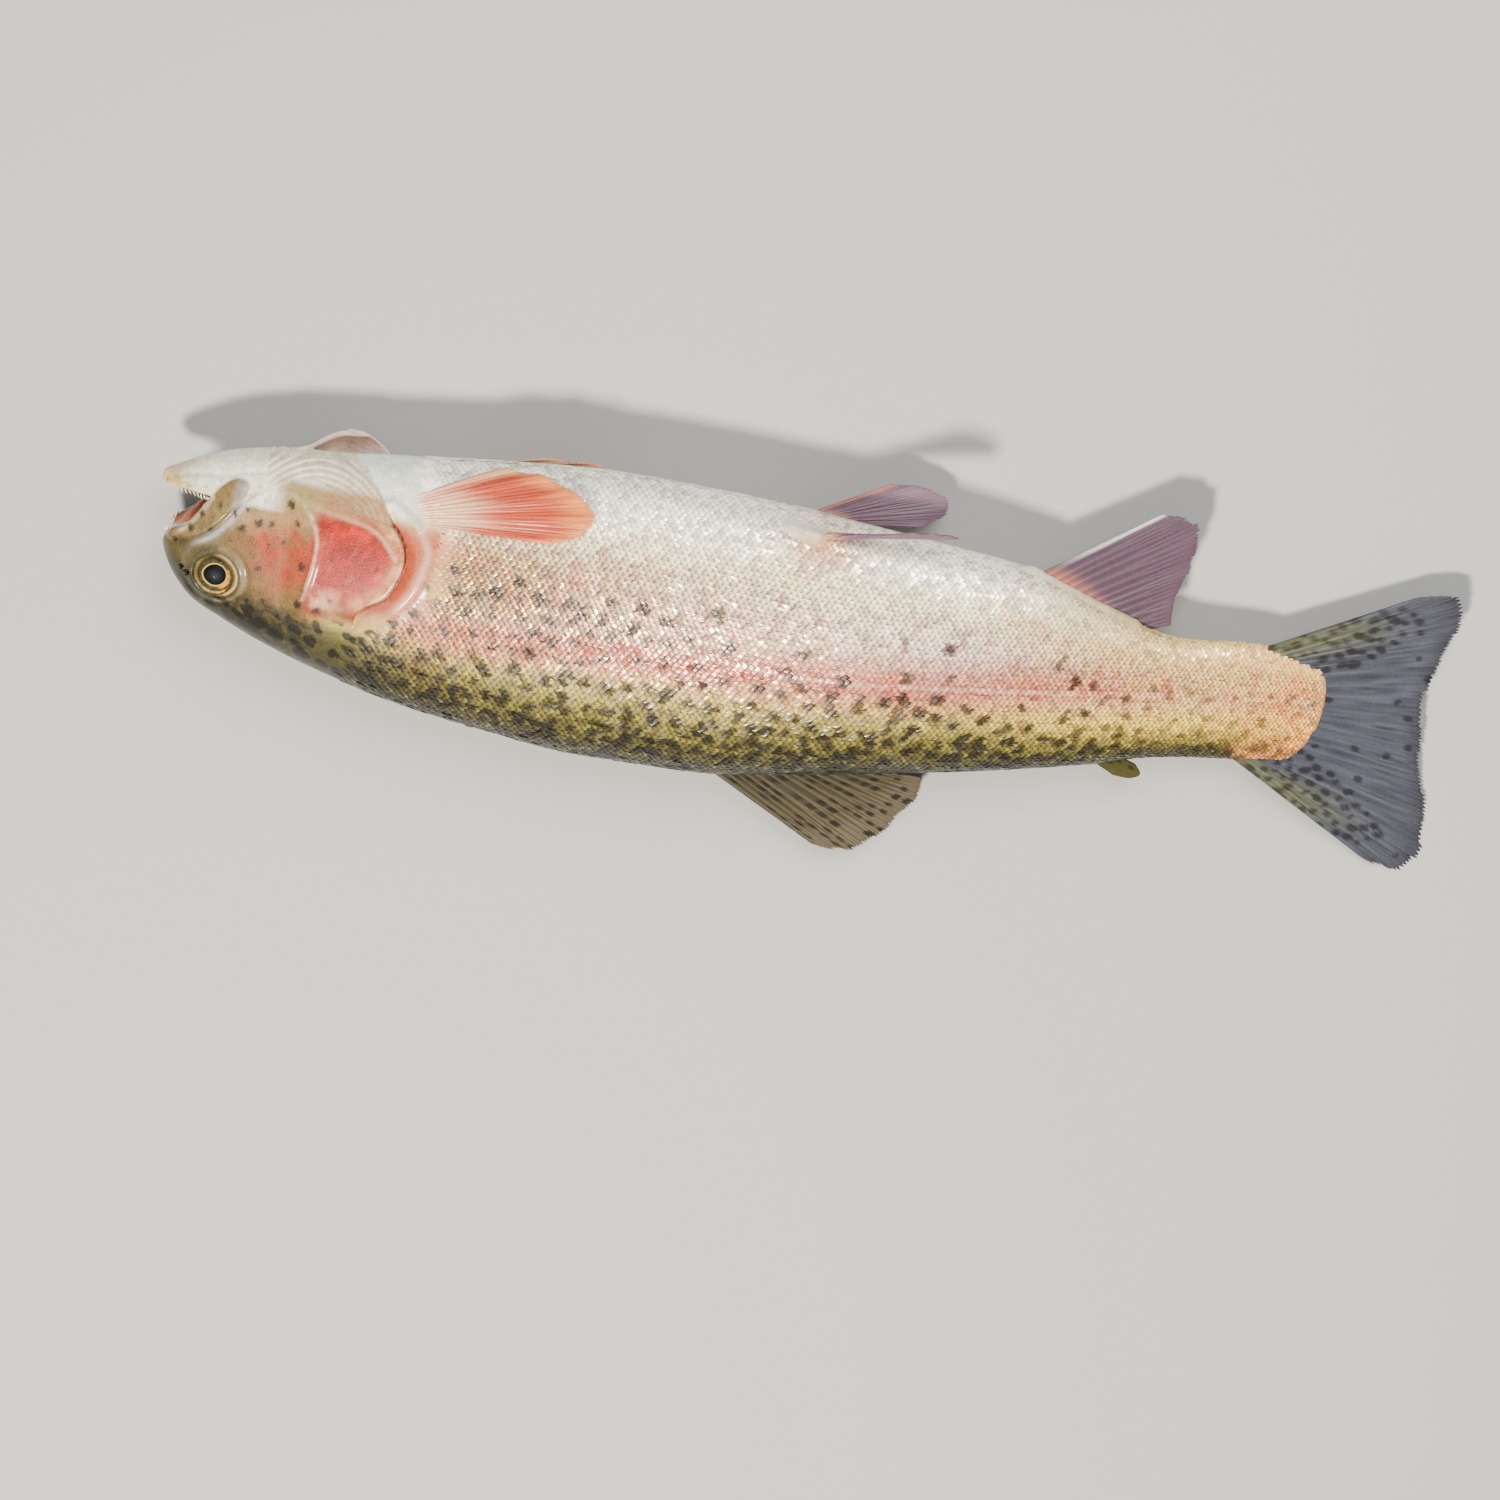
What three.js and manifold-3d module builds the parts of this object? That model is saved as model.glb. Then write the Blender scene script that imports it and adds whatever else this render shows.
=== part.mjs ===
// A rainbow trout at life size, lying on its left side as it would on the ground, mouth a little open.
//
// The shapes are made in the fish's own frame, in millimetres: x runs from the snout to the tail, y from
// the back (-) to the belly (+) and z towards the right flank (+). layDown() then bends the limp tail
// towards the floor, rolls the fish so that the belly is a little higher than the back, and flattens what
// presses on the floor. Sub-parts meet at thin cuts.
import * as THREE from "three";
import { mergeVertices } from "three/addons/utils/BufferGeometryUtils.js";
import Module from "manifold-3d";

// ---- Driving dimensions ----

const CUT = 0.3; // gap at each cut between two sub-parts
const AXIS_HEIGHT = 19.6; // spine over the floor at mid body, which presses the lower flank a little flat
const ROLL = THREE.MathUtils.degToRad(6);
const TAIL_SAG = 15.5;
const TAIL_SAG_FROM = 200;
const TAIL_SAG_LENGTH = 180;
const TAIL_SAG_POWER = 1.6;
const HEAD_SAG = 0.6;
const HEAD_SAG_LENGTH = 100;

// Sections of the body with the mouth shut: distance from the snout, height of the back, depth of the
// belly, half width.
const SECTION_POWER = 2.2;
const SECTIONS = [
  [-1, 17.6, 21.0, 1.4],
  [1.5, -1.5, 22.5, 5.2],
  [3, -5.5, 23.3, 7.0],
  [6, -10.5, 24.8, 8.8],
  [12, -16.7, 27.6, 10.8],
  [20, -20.7, 30.4, 12.6],
  [32, -26.0, 32.6, 14.8],
  [46, -30.9, 34.0, 16.8],
  [60, -34.9, 35.4, 18.1],
  [76, -38.6, 37.0, 19.0],
  [100, -42.2, 39.4, 20.3],
  [130, -45.3, 41.3, 21.2],
  [160, -45.2, 40.6, 21.0],
  [190, -41.2, 38.4, 20.0],
  [220, -36.1, 35.4, 17.8],
  [250, -31.0, 31.6, 14.4],
  [275, -25.8, 22.6, 10.8],
  [298, -20.4, 16.4, 7.6],
  [318, -18.6, 17.6, 5.4],
  [341, -17.5, 14.0, 2.4],
];
const RING_POINTS = 26;
const HEAD_END = 76;
const HEAD_STEP = 4;
const TRUNK_STEP = 8;
const OUTSIDE = 40; // further from the mid plane than any flank
const PLATE_LENGTH = { from: -8, to: 80 }; // the length of body that the thin plates of the head are cut from
const FIN_SEAT = { from: -2, to: 344, step: 4 }; // the length of body that fins are trimmed to
const MERGE_DISTANCE = 1e-4;
const ELLIPSOID_SEGMENTS = [16, 8];

// The trunk's lengths, each from one cut to the next.
const TRUNK_PARTS = {
  shoulder: [HEAD_END, 108],
  trunk_front: [108, 160],
  trunk_middle: [160, 206],
  trunk_rear: [206, 252],
  tail_peduncle: [252, 341],
};

const EYE = { x: 18.8, y: -4.4, z: 8.1, radius: 7.1, depth: 4.8 };
const MOUTH_HOLLOW = { x: 13, y: 13.2, z: 0, length: 18, height: 6.2, width: 7 };
const TONGUE = { x: 13.5, y: 17.2, z: 0, length: 9.5, height: 1.5, width: 3.3 };

// Side-view outlines of the head's parts, as the corners of closed polygons.
const GAPE = [
  [-4, 4.4], [3, 5], [8.8, 8.8], [12.7, 14.5], [14.8, 18], [7.3, 18.8], [2.5, 18.2], [-4, 17],
];
const LOWER_JAW = [
  [-4, 17.3], [2.5, 18.5], [7.3, 19.1], [14.8, 18.3], [20, 20.6], [26, 23], [30.5, 28], [31, 38], [-4, 38],
];
const MAXILLA = [
  [3.2, 2.6], [9, 4.4], [14.1, 7], [18.2, 11], [22, 16.2], [25.4, 21.4], [24.8, 24.4], [21, 24.2],
  [17.3, 21.3], [14.6, 17.6], [12.2, 13.8], [8.4, 8.8], [3.2, 5.4],
];
const GILL_COVER = [
  [35.4, -9], [45, -15], [58, -15], [61, -7.6], [64.7, -3.7], [69.2, -0.3], [72, 5.5], [73.1, 11],
  [71.8, 16], [67.9, 20.6], [60.4, 21.2], [52, 25.6], [44.5, 28.6], [35, 26.4], [33.4, 22], [36.6, 8],
];
const GILL_MEMBRANE = [
  [32.2, 26.2], [35, 26.8], [44.5, 29], [52, 26], [60.4, 21.6], [67.6, 21], [63, 28.5], [57, 33],
  [49, 37], [40, 39], [32.2, 39],
];
const THROAT = [[31.4, 30.2], [HEAD_END, 27], [HEAD_END, 50], [31.4, 50]];
const COVER_PROUD = 0.9;
const COVER_DEPTH = 1.7;
const MEMBRANE_PROUD = 0.4;
const MEMBRANE_DEPTH = 1.4;
const MAXILLA_PROUD = 0.8;
const MAXILLA_DEPTH = 2.6;
const MAXILLA_INNER = 1.2; // the upper jaw's side plates stop this far from the mid plane
const LEFT_GILL_SWING = THREE.MathUtils.degToRad(17); // the left gill cover hangs a little open
const LEFT_GILL_HINGE = { y: 3, z: -17.5, swungBy: 34, frontX: 36, freeX: 50 };
const MIDLINE_GAP = 0.4; // the left and right membranes stop this far from the throat's midline

// Fins: points along the root, then along the outer edge from the first ray to the last. Those of the
// pectoral fins are given on the flank, as distance from the snout, angle round the body from the
// belly's midline and height over the skin.
const FIN_ROOT_THICK = 2.0;
const FIN_EDGE_THICK = 0.6;
const FIN_SLOPE_SPAN = 0.02; // share of a fin over which its slope is taken
const DORSAL_FIN = {
  root: [[163, -42, 0], [185, -39, 0], [206, -35.5, 0]],
  edge: [
    [202, -66, -5.6], [212, -66.4, -6], [219, -62, -5.6], [224, -55, -4.6], [230, -45, -3], [231, -37.5, -2],
  ],
  columns: 10,
  rows: 3,
};
const ADIPOSE_FIN = {
  root: [[275, -23, 0], [279, -22, 0], [283, -21, 0]],
  edge: [[285, -28.6, -0.5], [290, -29.2, -1], [293, -27.6, -1.2], [291, -24.4, -1]],
  columns: 6,
  rows: 2,
};
const ANAL_FIN = {
  root: [[251, 29, 0], [268, 22, 0], [282, 16, 0]],
  edge: [[287, 53, -4], [295, 52, -4], [298, 47, -3.6], [297, 38, -3], [294, 27, -2], [294, 19.5, -1]],
  columns: 10,
  rows: 3,
};
const CAUDAL_FIN = {
  root: [[316, 14, 0], [332, 12.5, 0], [337, -1, 0], [332, -15.5, 0], [314, -16, 0]],
  edge: [
    [365, 38.6, 0], [376, 40, 0.4], [377.6, 30.8, 0.8], [373, 16, 0.4], [372, 4, 0], [374.4, -11, -0.3],
    [379.3, -29, -0.4], [380, -41, -0.2], [375, -48.6, 0], [363, -46, 0],
  ],
  columns: 18,
  rows: 3,
};
const PELVIC_FIN_LEFT = {
  root: [[181, 34.5, -5.5], [184.5, 34, -6.5], [188, 33.5, -7]],
  edge: [[208, 47.4, -12.5], [217, 47, -14.5], [225, 44.6, -15], [225, 39.6, -14], [218, 35.5, -11.5]],
  columns: 7,
  rows: 3,
};
const PELVIC_FIN_RIGHT = {
  root: [[181, 34, 6.5], [185, 34, 7.5], [189, 34, 8.5]],
  edge: [[229, 41.2, 10.5], [229, 42.6, 13], [226, 43.6, 15.6], [221, 44.2, 17.6], [215, 43.6, 18.4]],
  columns: 7,
  rows: 3,
};
const PECTORAL_FIN_RIGHT = {
  root: [[66.5, 43, -1.6], [68.5, 48, -1.6], [70, 54, -1.6]],
  edge: [
    [97, 13, 1.6], [107, 17, 2.2], [115, 24, 2.6], [122, 33, 2.8], [126, 43, 2.8], [122, 52, 2.4],
    [113, 57, 2.0],
  ],
  columns: 10,
  rows: 5,
};
const PECTORAL_FIN_LEFT = {
  root: [[66.5, -43, -1.6], [68.5, -48, -1.6], [70, -54, -1.6]],
  edge: [
    [106, -14, 1.2], [118, -16, 1.4], [129, -22, 1.4], [132, -32, 1.6], [129, -42, 1.8], [122, -50, 1.8],
  ],
  columns: 9,
  rows: 5,
};

const AXIS_X = new THREE.Vector3(1, 0, 0);

const COLOURS = {
  flesh: 0xb9b4a2,
  fin: 0x8f8c84,
  pectoral: 0xd9705c,
  mouth: 0xd8b9a8,
  gills: 0xc96a5a,
  eye: 0x1b2430,
};
const ROUGHNESS = { skin: 0.45, fin: 0.5, tongue: 0.3, eye: 0.1 };

// ---- Curves and sections ----

// A smooth line through the sections' values in one column, with no overshoot between them.
function sectionValue(x, column) {
  const last = SECTIONS.length - 1;
  const at = THREE.MathUtils.clamp(x, SECTIONS[0][0], SECTIONS[last][0]);
  let i = 0;
  while (i < last - 1 && at > SECTIONS[i + 1][0]) i++;
  const step = SECTIONS[i + 1][0] - SECTIONS[i][0];
  const t = (at - SECTIONS[i][0]) / step;
  const [a, b] = [SECTIONS[i][column], SECTIONS[i + 1][column]];
  const [ma, mb] = [sectionSlope(i, column) * step, sectionSlope(i + 1, column) * step];
  const [t2, t3] = [t * t, t * t * t];
  return (2 * t3 - 3 * t2 + 1) * a + (t3 - 2 * t2 + t) * ma + (3 * t2 - 2 * t3) * b + (t3 - t2) * mb;
}

function sectionSlope(i, column) {
  const rise = (j) => (SECTIONS[j + 1][column] - SECTIONS[j][column]) / (SECTIONS[j + 1][0] - SECTIONS[j][0]);
  if (i === 0) return rise(0);
  if (i === SECTIONS.length - 1) return rise(i - 1);
  const [before, after] = [rise(i - 1), rise(i)];
  if (before * after <= 0) return 0;
  const h0 = SECTIONS[i][0] - SECTIONS[i - 1][0];
  const h1 = SECTIONS[i + 1][0] - SECTIONS[i][0];
  return (3 * (h0 + h1)) / ((2 * h1 + h0) / before + (h1 + 2 * h0) / after);
}

// The skin at a distance from the snout and an angle round the body, 0 at the belly's midline and
// +90 degrees on the right flank, moved out by lift.
function skinPoint(x, angle, lift = 0) {
  const back = sectionValue(x, 1);
  const belly = sectionValue(x, 2);
  const tall = Math.max((belly - back) / 2 + lift, CUT);
  const wide = Math.max(sectionValue(x, 3) + lift, CUT);
  const bulge = (v) => Math.sign(v) * Math.abs(v) ** (2 / SECTION_POWER);
  const y = (back + belly) / 2 + tall * bulge(Math.cos(angle));
  return new THREE.Vector3(x, y, wide * bulge(Math.sin(angle)));
}

// From the fish's frame to where it lies.
function layDown(point) {
  const tail = THREE.MathUtils.clamp((point.x - TAIL_SAG_FROM) / TAIL_SAG_LENGTH, 0, 1);
  const head = THREE.MathUtils.clamp(1 - point.x / HEAD_SAG_LENGTH, 0, 1);
  const side = point.z - TAIL_SAG * tail ** TAIL_SAG_POWER - HEAD_SAG * head ** 2;
  const y = point.y * Math.cos(ROLL) - side * Math.sin(ROLL);
  const z = point.y * Math.sin(ROLL) + side * Math.cos(ROLL) + AXIS_HEIGHT;
  return new THREE.Vector3(point.x, y, Math.max(z, 0));
}

// ---- Solids ----

const wasm = await Module();
wasm.setup();

function toSolid(geometry) {
  const plain = geometry.clone();
  plain.deleteAttribute("normal");
  plain.deleteAttribute("uv");
  const merged = mergeVertices(plain, MERGE_DISTANCE);
  return new wasm.Manifold(
    new wasm.Mesh({
      numProp: 3,
      vertProperties: new Float32Array(merged.attributes.position.array),
      triVerts: new Uint32Array(merged.index.array),
    }),
  );
}

// The main body of a cut solid, without the slivers that a cut can leave.
function mainBody(solid) {
  return solid.decompose().reduce((a, b) => (a.volume() > b.volume() ? a : b));
}

function toGeometry(solid, bend) {
  const mesh = solid.getMesh();
  const positions = [];
  for (let i = 0; i < mesh.numVert; i++) {
    const start = i * mesh.numProp;
    const point = new THREE.Vector3(...mesh.vertProperties.subarray(start, start + 3));
    positions.push(...layDown(bend(point)).toArray());
  }
  const geometry = new THREE.BufferGeometry();
  geometry.setAttribute("position", new THREE.Float32BufferAttribute(positions, 3));
  geometry.setIndex([...mesh.triVerts]);
  geometry.computeVertexNormals();
  return geometry;
}

// A closed geometry from points on rings: side walls, and a fan over each end.
function closedRings(rings) {
  const around = rings[0].length;
  const positions = rings.flat().flatMap((p) => [p.x, p.y, p.z]);
  const faces = [];
  for (let r = 0; r + 1 < rings.length; r++) {
    for (let k = 0; k < around; k++) {
      const a = r * around + k;
      const b = r * around + ((k + 1) % around);
      faces.push(a, b, a + around, b, b + around, a + around);
    }
  }
  [0, rings.length - 1].forEach((r, end) => {
    const middle = rings[r].reduce((sum, p) => sum.add(p), new THREE.Vector3()).divideScalar(around);
    const centre = positions.length / 3;
    positions.push(middle.x, middle.y, middle.z);
    for (let k = 0; k < around; k++) {
      const a = r * around + k;
      const b = r * around + ((k + 1) % around);
      faces.push(centre, end ? a : b, end ? b : a);
    }
  });
  const geometry = new THREE.BufferGeometry();
  geometry.setAttribute("position", new THREE.Float32BufferAttribute(positions, 3));
  geometry.setIndex(faces);
  return geometry;
}

// A length of the body, swollen by lift.
function bodyLength(from, to, step, lift = 0) {
  const count = Math.ceil((to - from) / step);
  const rings = [];
  for (let i = 0; i <= count; i++) {
    const x = from + ((to - from) * i) / count;
    const ring = [];
    for (let k = 0; k < RING_POINTS; k++) ring.push(skinPoint(x, (k / RING_POINTS) * 2 * Math.PI, lift));
    rings.push(ring);
  }
  return toSolid(closedRings(rings));
}

// Everything inside a side-view outline, from one z to the other, with the outline moved out by grow.
function sideRegion(corners, zFrom, zTo, grow = 0) {
  const points = corners.map(([x, y]) => new THREE.Vector2(x, y));
  const clockwise = THREE.ShapeUtils.isClockWise(points);
  const moved = points.map((p, i) => {
    const before = points[(i + points.length - 1) % points.length];
    const after = points[(i + 1) % points.length];
    const along = after.clone().sub(before).normalize();
    const out = new THREE.Vector2(along.y, -along.x).multiplyScalar(clockwise ? -grow : grow);
    return p.clone().add(out);
  });
  const outline = new THREE.Shape(moved);
  const geometry = new THREE.ExtrudeGeometry(outline, { depth: zTo - zFrom, bevelEnabled: false });
  geometry.translate(0, 0, zFrom);
  return toSolid(geometry);
}

function ellipsoid({ x, y, z }, length, height, width) {
  const geometry = new THREE.SphereGeometry(1, ...ELLIPSOID_SEGMENTS);
  geometry.scale(length, height, width);
  geometry.translate(x, y, z);
  return toSolid(geometry);
}

// A fin: a thin sheet between its root and its outer edge, with a closed rim.
function finSheet({ root, edge, columns, rows }) {
  const curve = (points) => new THREE.CatmullRomCurve3(points.map((p) => new THREE.Vector3(...p)));
  const [rootCurve, edgeCurve] = [curve(root), curve(edge)];
  const middle = (s, t) => rootCurve.getPoint(s).lerp(edgeCurve.getPoint(s), t);
  const beside = (v) => [Math.max(v - FIN_SLOPE_SPAN, 0), Math.min(v + FIN_SLOPE_SPAN, 1)];
  const rings = [];
  for (let i = 0; i <= columns; i++) {
    const s = i / columns;
    const [near, far] = beside(s);
    const [front, rear] = [[], []];
    for (let j = 0; j <= rows; j++) {
      const t = j / rows;
      const [inner, outer] = beside(t);
      const across = middle(far, t).sub(middle(near, t));
      const along = middle(s, outer).sub(middle(s, inner));
      const normal = across.cross(along).normalize();
      const half = THREE.MathUtils.lerp(FIN_ROOT_THICK, FIN_EDGE_THICK, Math.sqrt(t)) / 2;
      front.push(middle(s, t).addScaledVector(normal, half));
      rear.unshift(middle(s, t).addScaledVector(normal, -half));
    }
    rings.push([...front, ...rear]);
  }
  const solid = toSolid(closedRings(rings));
  return solid.volume() > 0 ? solid : toSolid(closedRings(rings.reverse()));
}

const onFlank = (points) =>
  points.map(([x, angle, lift]) => skinPoint(x, THREE.MathUtils.degToRad(angle), lift).toArray());

// ---- The fish ----

const fish = new THREE.Group();

function add(name, solid, colour, { roughness = ROUGHNESS.skin, bend = (point) => point } = {}) {
  const material = new THREE.MeshStandardMaterial({ color: colour, roughness, metalness: 0 });
  const mesh = new THREE.Mesh(toGeometry(mainBody(solid), bend), material);
  mesh.name = name;
  fish.add(mesh);
}

// A thin part that lies over the head inside an outline, on one side of it: its solid and the seat it
// needs in what lies under it.
function headPlate(outline, side, proud, depth, inner = 0) {
  const [zFrom, zTo] = side > 0 ? [inner, OUTSIDE] : [-OUTSIDE, -inner];
  const swollen = (lift) => bodyLength(PLATE_LENGTH.from, PLATE_LENGTH.to, HEAD_STEP, lift);
  const plate = sideRegion(outline, zFrom, zTo).intersect(swollen(proud)).subtract(swollen(-depth));
  const seatZ = side > 0 ? [zFrom - CUT, zTo] : [zFrom, zTo + CUT];
  const seat = sideRegion(outline, ...seatZ, CUT).subtract(swollen(-depth - CUT));
  return { plate, seat };
}

// The left gill cover bends away from the head, most at its lower and rear edges.
function swingLeftGill(point) {
  const { y, z, swungBy, frontX, freeX } = LEFT_GILL_HINGE;
  const low = THREE.MathUtils.smoothstep(point.y, y, swungBy);
  const free = THREE.MathUtils.smoothstep(point.x, frontX, freeX);
  const around = new THREE.Vector3(point.x, y, z);
  return point.clone().sub(around).applyAxisAngle(AXIS_X, -LEFT_GILL_SWING * low * free).add(around);
}

function addHead() {
  const full = bodyLength(SECTIONS[0][0], HEAD_END - CUT / 2, HEAD_STEP);
  const gape = sideRegion(GAPE, -OUTSIDE, OUTSIDE);
  const hollow = ellipsoid(MOUTH_HOLLOW, MOUTH_HOLLOW.length, MOUTH_HOLLOW.height, MOUTH_HOLLOW.width);
  const jawSpace = sideRegion(LOWER_JAW, -OUTSIDE, OUTSIDE, CUT);
  let cranium = full.subtract(gape).subtract(jawSpace).subtract(hollow);
  let jaw = full.intersect(sideRegion(LOWER_JAW, -OUTSIDE, OUTSIDE)).subtract(gape).subtract(hollow);

  for (const [name, side] of [["right", 1], ["left", -1]]) {
    const maxilla = headPlate(MAXILLA, side, MAXILLA_PROUD, MAXILLA_DEPTH, MAXILLA_INNER);
    const cover = headPlate(GILL_COVER, side, COVER_PROUD, COVER_DEPTH);
    const membrane = headPlate(GILL_MEMBRANE, side, MEMBRANE_PROUD, MEMBRANE_DEPTH, MIDLINE_GAP);
    const eyeAt = { ...EYE, z: side * EYE.z };
    const socket = ellipsoid(eyeAt, EYE.radius + CUT, EYE.radius + CUT, EYE.depth + CUT);
    cranium = cranium.subtract(maxilla.seat).subtract(cover.seat).subtract(membrane.seat).subtract(socket);
    jaw = jaw.subtract(maxilla.seat);
    const spread = side > 0 ? {} : { bend: swingLeftGill };
    const eyeball = ellipsoid(eyeAt, EYE.radius, EYE.radius, EYE.depth);
    add("eye_" + name, eyeball, COLOURS.eye, { roughness: ROUGHNESS.eye });
    add("maxilla_" + name, maxilla.plate, COLOURS.flesh);
    add("gill_cover_" + name, cover.plate, COLOURS.gills, spread);
    add("gill_membrane_" + name, membrane.plate, COLOURS.mouth, spread);
  }

  const throat = cranium.intersect(sideRegion(THROAT, -OUTSIDE, OUTSIDE));
  cranium = cranium.subtract(sideRegion(THROAT, -OUTSIDE, OUTSIDE, CUT));
  add("cranium", cranium, COLOURS.flesh);
  add("lower_jaw", jaw, COLOURS.mouth);
  add("throat", throat, COLOURS.mouth);
  const tongue = ellipsoid(TONGUE, TONGUE.length, TONGUE.height, TONGUE.width);
  add("tongue", tongue, COLOURS.mouth, { roughness: ROUGHNESS.tongue });
}

function addTrunk() {
  for (const [name, [from, to]] of Object.entries(TRUNK_PARTS)) {
    add(name, bodyLength(from + CUT / 2, to - CUT / 2, TRUNK_STEP), COLOURS.flesh);
  }
}

function addFins() {
  const seat = bodyLength(FIN_SEAT.from, FIN_SEAT.to, FIN_SEAT.step, CUT);
  const fin = (name, shape, colour = COLOURS.fin) =>
    add(name, finSheet(shape).subtract(seat), colour, { roughness: ROUGHNESS.fin });
  const laidOnFlank = (shape) => ({ ...shape, root: onFlank(shape.root), edge: onFlank(shape.edge) });
  fin("dorsal_fin", DORSAL_FIN);
  fin("adipose_fin", ADIPOSE_FIN);
  fin("anal_fin", ANAL_FIN);
  fin("caudal_fin", CAUDAL_FIN);
  fin("pelvic_fin_left", PELVIC_FIN_LEFT);
  fin("pelvic_fin_right", PELVIC_FIN_RIGHT);
  fin("pectoral_fin_right", laidOnFlank(PECTORAL_FIN_RIGHT), COLOURS.pectoral);
  fin("pectoral_fin_left", laidOnFlank(PECTORAL_FIN_LEFT), COLOURS.pectoral);
}

addHead();
addTrunk();
addFins();

// The origin is under the middle of the fish, on the floor.
const bounds = new THREE.Box3().setFromObject(fish, true);
const middle = bounds.getCenter(new THREE.Vector3());
fish.position.set(-middle.x, -middle.y, 0);

export default fish;
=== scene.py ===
"""A rainbow trout at life size, lying on its left side: one skin with the head's detail in it, every scale
as a small plate over it, rayed fins, glassy eyes, teeth and tongue.

Shapes are made in the fish's own frame, in millimetres: x from the snout to the tail, y from the back (-)
to the belly (+), z towards the right flank (+). lay_down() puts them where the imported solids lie, in metres.
"""
import math

import bpy
import numpy as np
from mathutils import Matrix, Vector


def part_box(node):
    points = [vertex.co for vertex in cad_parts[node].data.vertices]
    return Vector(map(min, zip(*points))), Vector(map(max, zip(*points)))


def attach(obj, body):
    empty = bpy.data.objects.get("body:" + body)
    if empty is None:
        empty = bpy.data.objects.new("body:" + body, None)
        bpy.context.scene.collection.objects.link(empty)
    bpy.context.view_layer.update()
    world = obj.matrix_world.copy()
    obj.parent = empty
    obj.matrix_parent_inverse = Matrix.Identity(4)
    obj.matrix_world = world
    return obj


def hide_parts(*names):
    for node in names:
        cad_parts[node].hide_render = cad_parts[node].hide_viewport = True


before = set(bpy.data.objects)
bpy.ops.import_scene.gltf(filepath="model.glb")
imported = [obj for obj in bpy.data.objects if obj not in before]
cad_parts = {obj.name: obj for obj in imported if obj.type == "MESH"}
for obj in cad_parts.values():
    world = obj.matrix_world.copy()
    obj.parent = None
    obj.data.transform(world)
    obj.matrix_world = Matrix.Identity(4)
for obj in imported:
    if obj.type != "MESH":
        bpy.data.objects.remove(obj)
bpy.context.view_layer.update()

# ---- Driving dimensions, mm ----

AXIS_HEIGHT = 19.6  # spine over the floor at mid body
ROLL = math.radians(6)
TAIL_SAG, TAIL_SAG_FROM, TAIL_SAG_LENGTH, TAIL_SAG_POWER = 15.5, 200.0, 180.0, 1.6
HEAD_SAG, HEAD_SAG_LENGTH = 0.6, 100.0
FLOOR_EASE = 0.5  # height under which what presses on the floor turns flat

# Sections with the mouth shut: distance from the snout, height of the back, depth of the belly, half width.
SECTION_POWER = 2.2
SECTIONS = np.array([
    (-1, 17.6, 21.0, 1.4), (1.5, -1.5, 22.5, 5.2), (3, -5.5, 23.3, 7.0), (6, -10.5, 24.8, 8.8),
    (12, -16.7, 27.6, 10.8), (20, -20.7, 30.4, 12.6), (32, -26.0, 32.6, 14.8), (46, -30.9, 34.0, 16.8),
    (60, -34.9, 35.4, 18.1), (76, -38.6, 37.0, 19.0), (100, -42.2, 39.4, 20.3), (130, -45.3, 41.3, 21.2),
    (160, -45.2, 40.6, 21.0), (190, -41.2, 38.4, 20.0), (220, -36.1, 35.4, 17.8), (250, -31.0, 31.6, 14.4),
    (275, -25.8, 22.6, 10.8), (298, -20.4, 16.4, 7.6), (318, -18.6, 17.6, 5.4), (341, -17.5, 14.0, 2.4),
])
BACK, BELLY, HALF_WIDTH = 1, 2, 3
SNOUT_X, TAIL_X = -1.0, 341.0
SKIN_LIFT = -0.15  # the skin lies inside the solids by the depth of the scales

EYE = np.array((18.8, -4.4, 8.1))
EYE_RADIUS, EYE_DEPTH = 7.1, 4.8


# ---- The fish's frame and where it lies ----

def slopes(column):
    """Slopes at the sections that give a smooth line with no overshoot."""
    x, v = SECTIONS[:, 0], SECTIONS[:, column]
    h = np.diff(x)
    rise = np.diff(v) / h
    before, after, h0, h1 = rise[:-1], rise[1:], h[:-1], h[1:]
    same = before * after > 0
    safe0, safe1 = np.where(same, before, 1), np.where(same, after, 1)
    inner = np.where(same, 3 * (h0 + h1) / ((2 * h1 + h0) / safe0 + (h1 + 2 * h0) / safe1), 0)
    return np.concatenate([[rise[0]], inner, [rise[-1]]])


def smooth_column(x, column):
    """One column of SECTIONS along a smooth line, at each x."""
    stations, values, m = SECTIONS[:, 0], SECTIONS[:, column], slopes(column)
    i = np.clip(np.searchsorted(stations, x) - 1, 0, len(stations) - 2)
    h = stations[i + 1] - stations[i]
    t = (x - stations[i]) / h
    return ((2 * t**3 - 3 * t**2 + 1) * values[i] + (t**3 - 2 * t**2 + t) * m[i] * h
            + (3 * t**2 - 2 * t**3) * values[i + 1] + (t**3 - t**2) * m[i + 1] * h)


FINE_X = np.arange(SNOUT_X, TAIL_X + 0.05, 0.1)
FINE = {column: smooth_column(FINE_X, column) for column in (BACK, BELLY, HALF_WIDTH)}


def section(x, column):
    return np.interp(x, FINE_X, FINE[column])


def skin_point(x, angle, lift=0.0):
    """The point of the skin at x and at an angle round the body: 0 at the belly, pi/2 on the right flank."""
    back, belly, wide = (section(x, c) for c in (BACK, BELLY, HALF_WIDTH))
    c, s = np.cos(angle), np.sin(angle)
    y = (back + belly) / 2 + ((belly - back) / 2 + lift) * np.sign(c) * np.abs(c) ** (2 / SECTION_POWER)
    z = (wide + lift) * np.sign(s) * np.abs(s) ** (2 / SECTION_POWER)
    return np.stack(np.broadcast_arrays(x, y, z), axis=-1)


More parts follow.
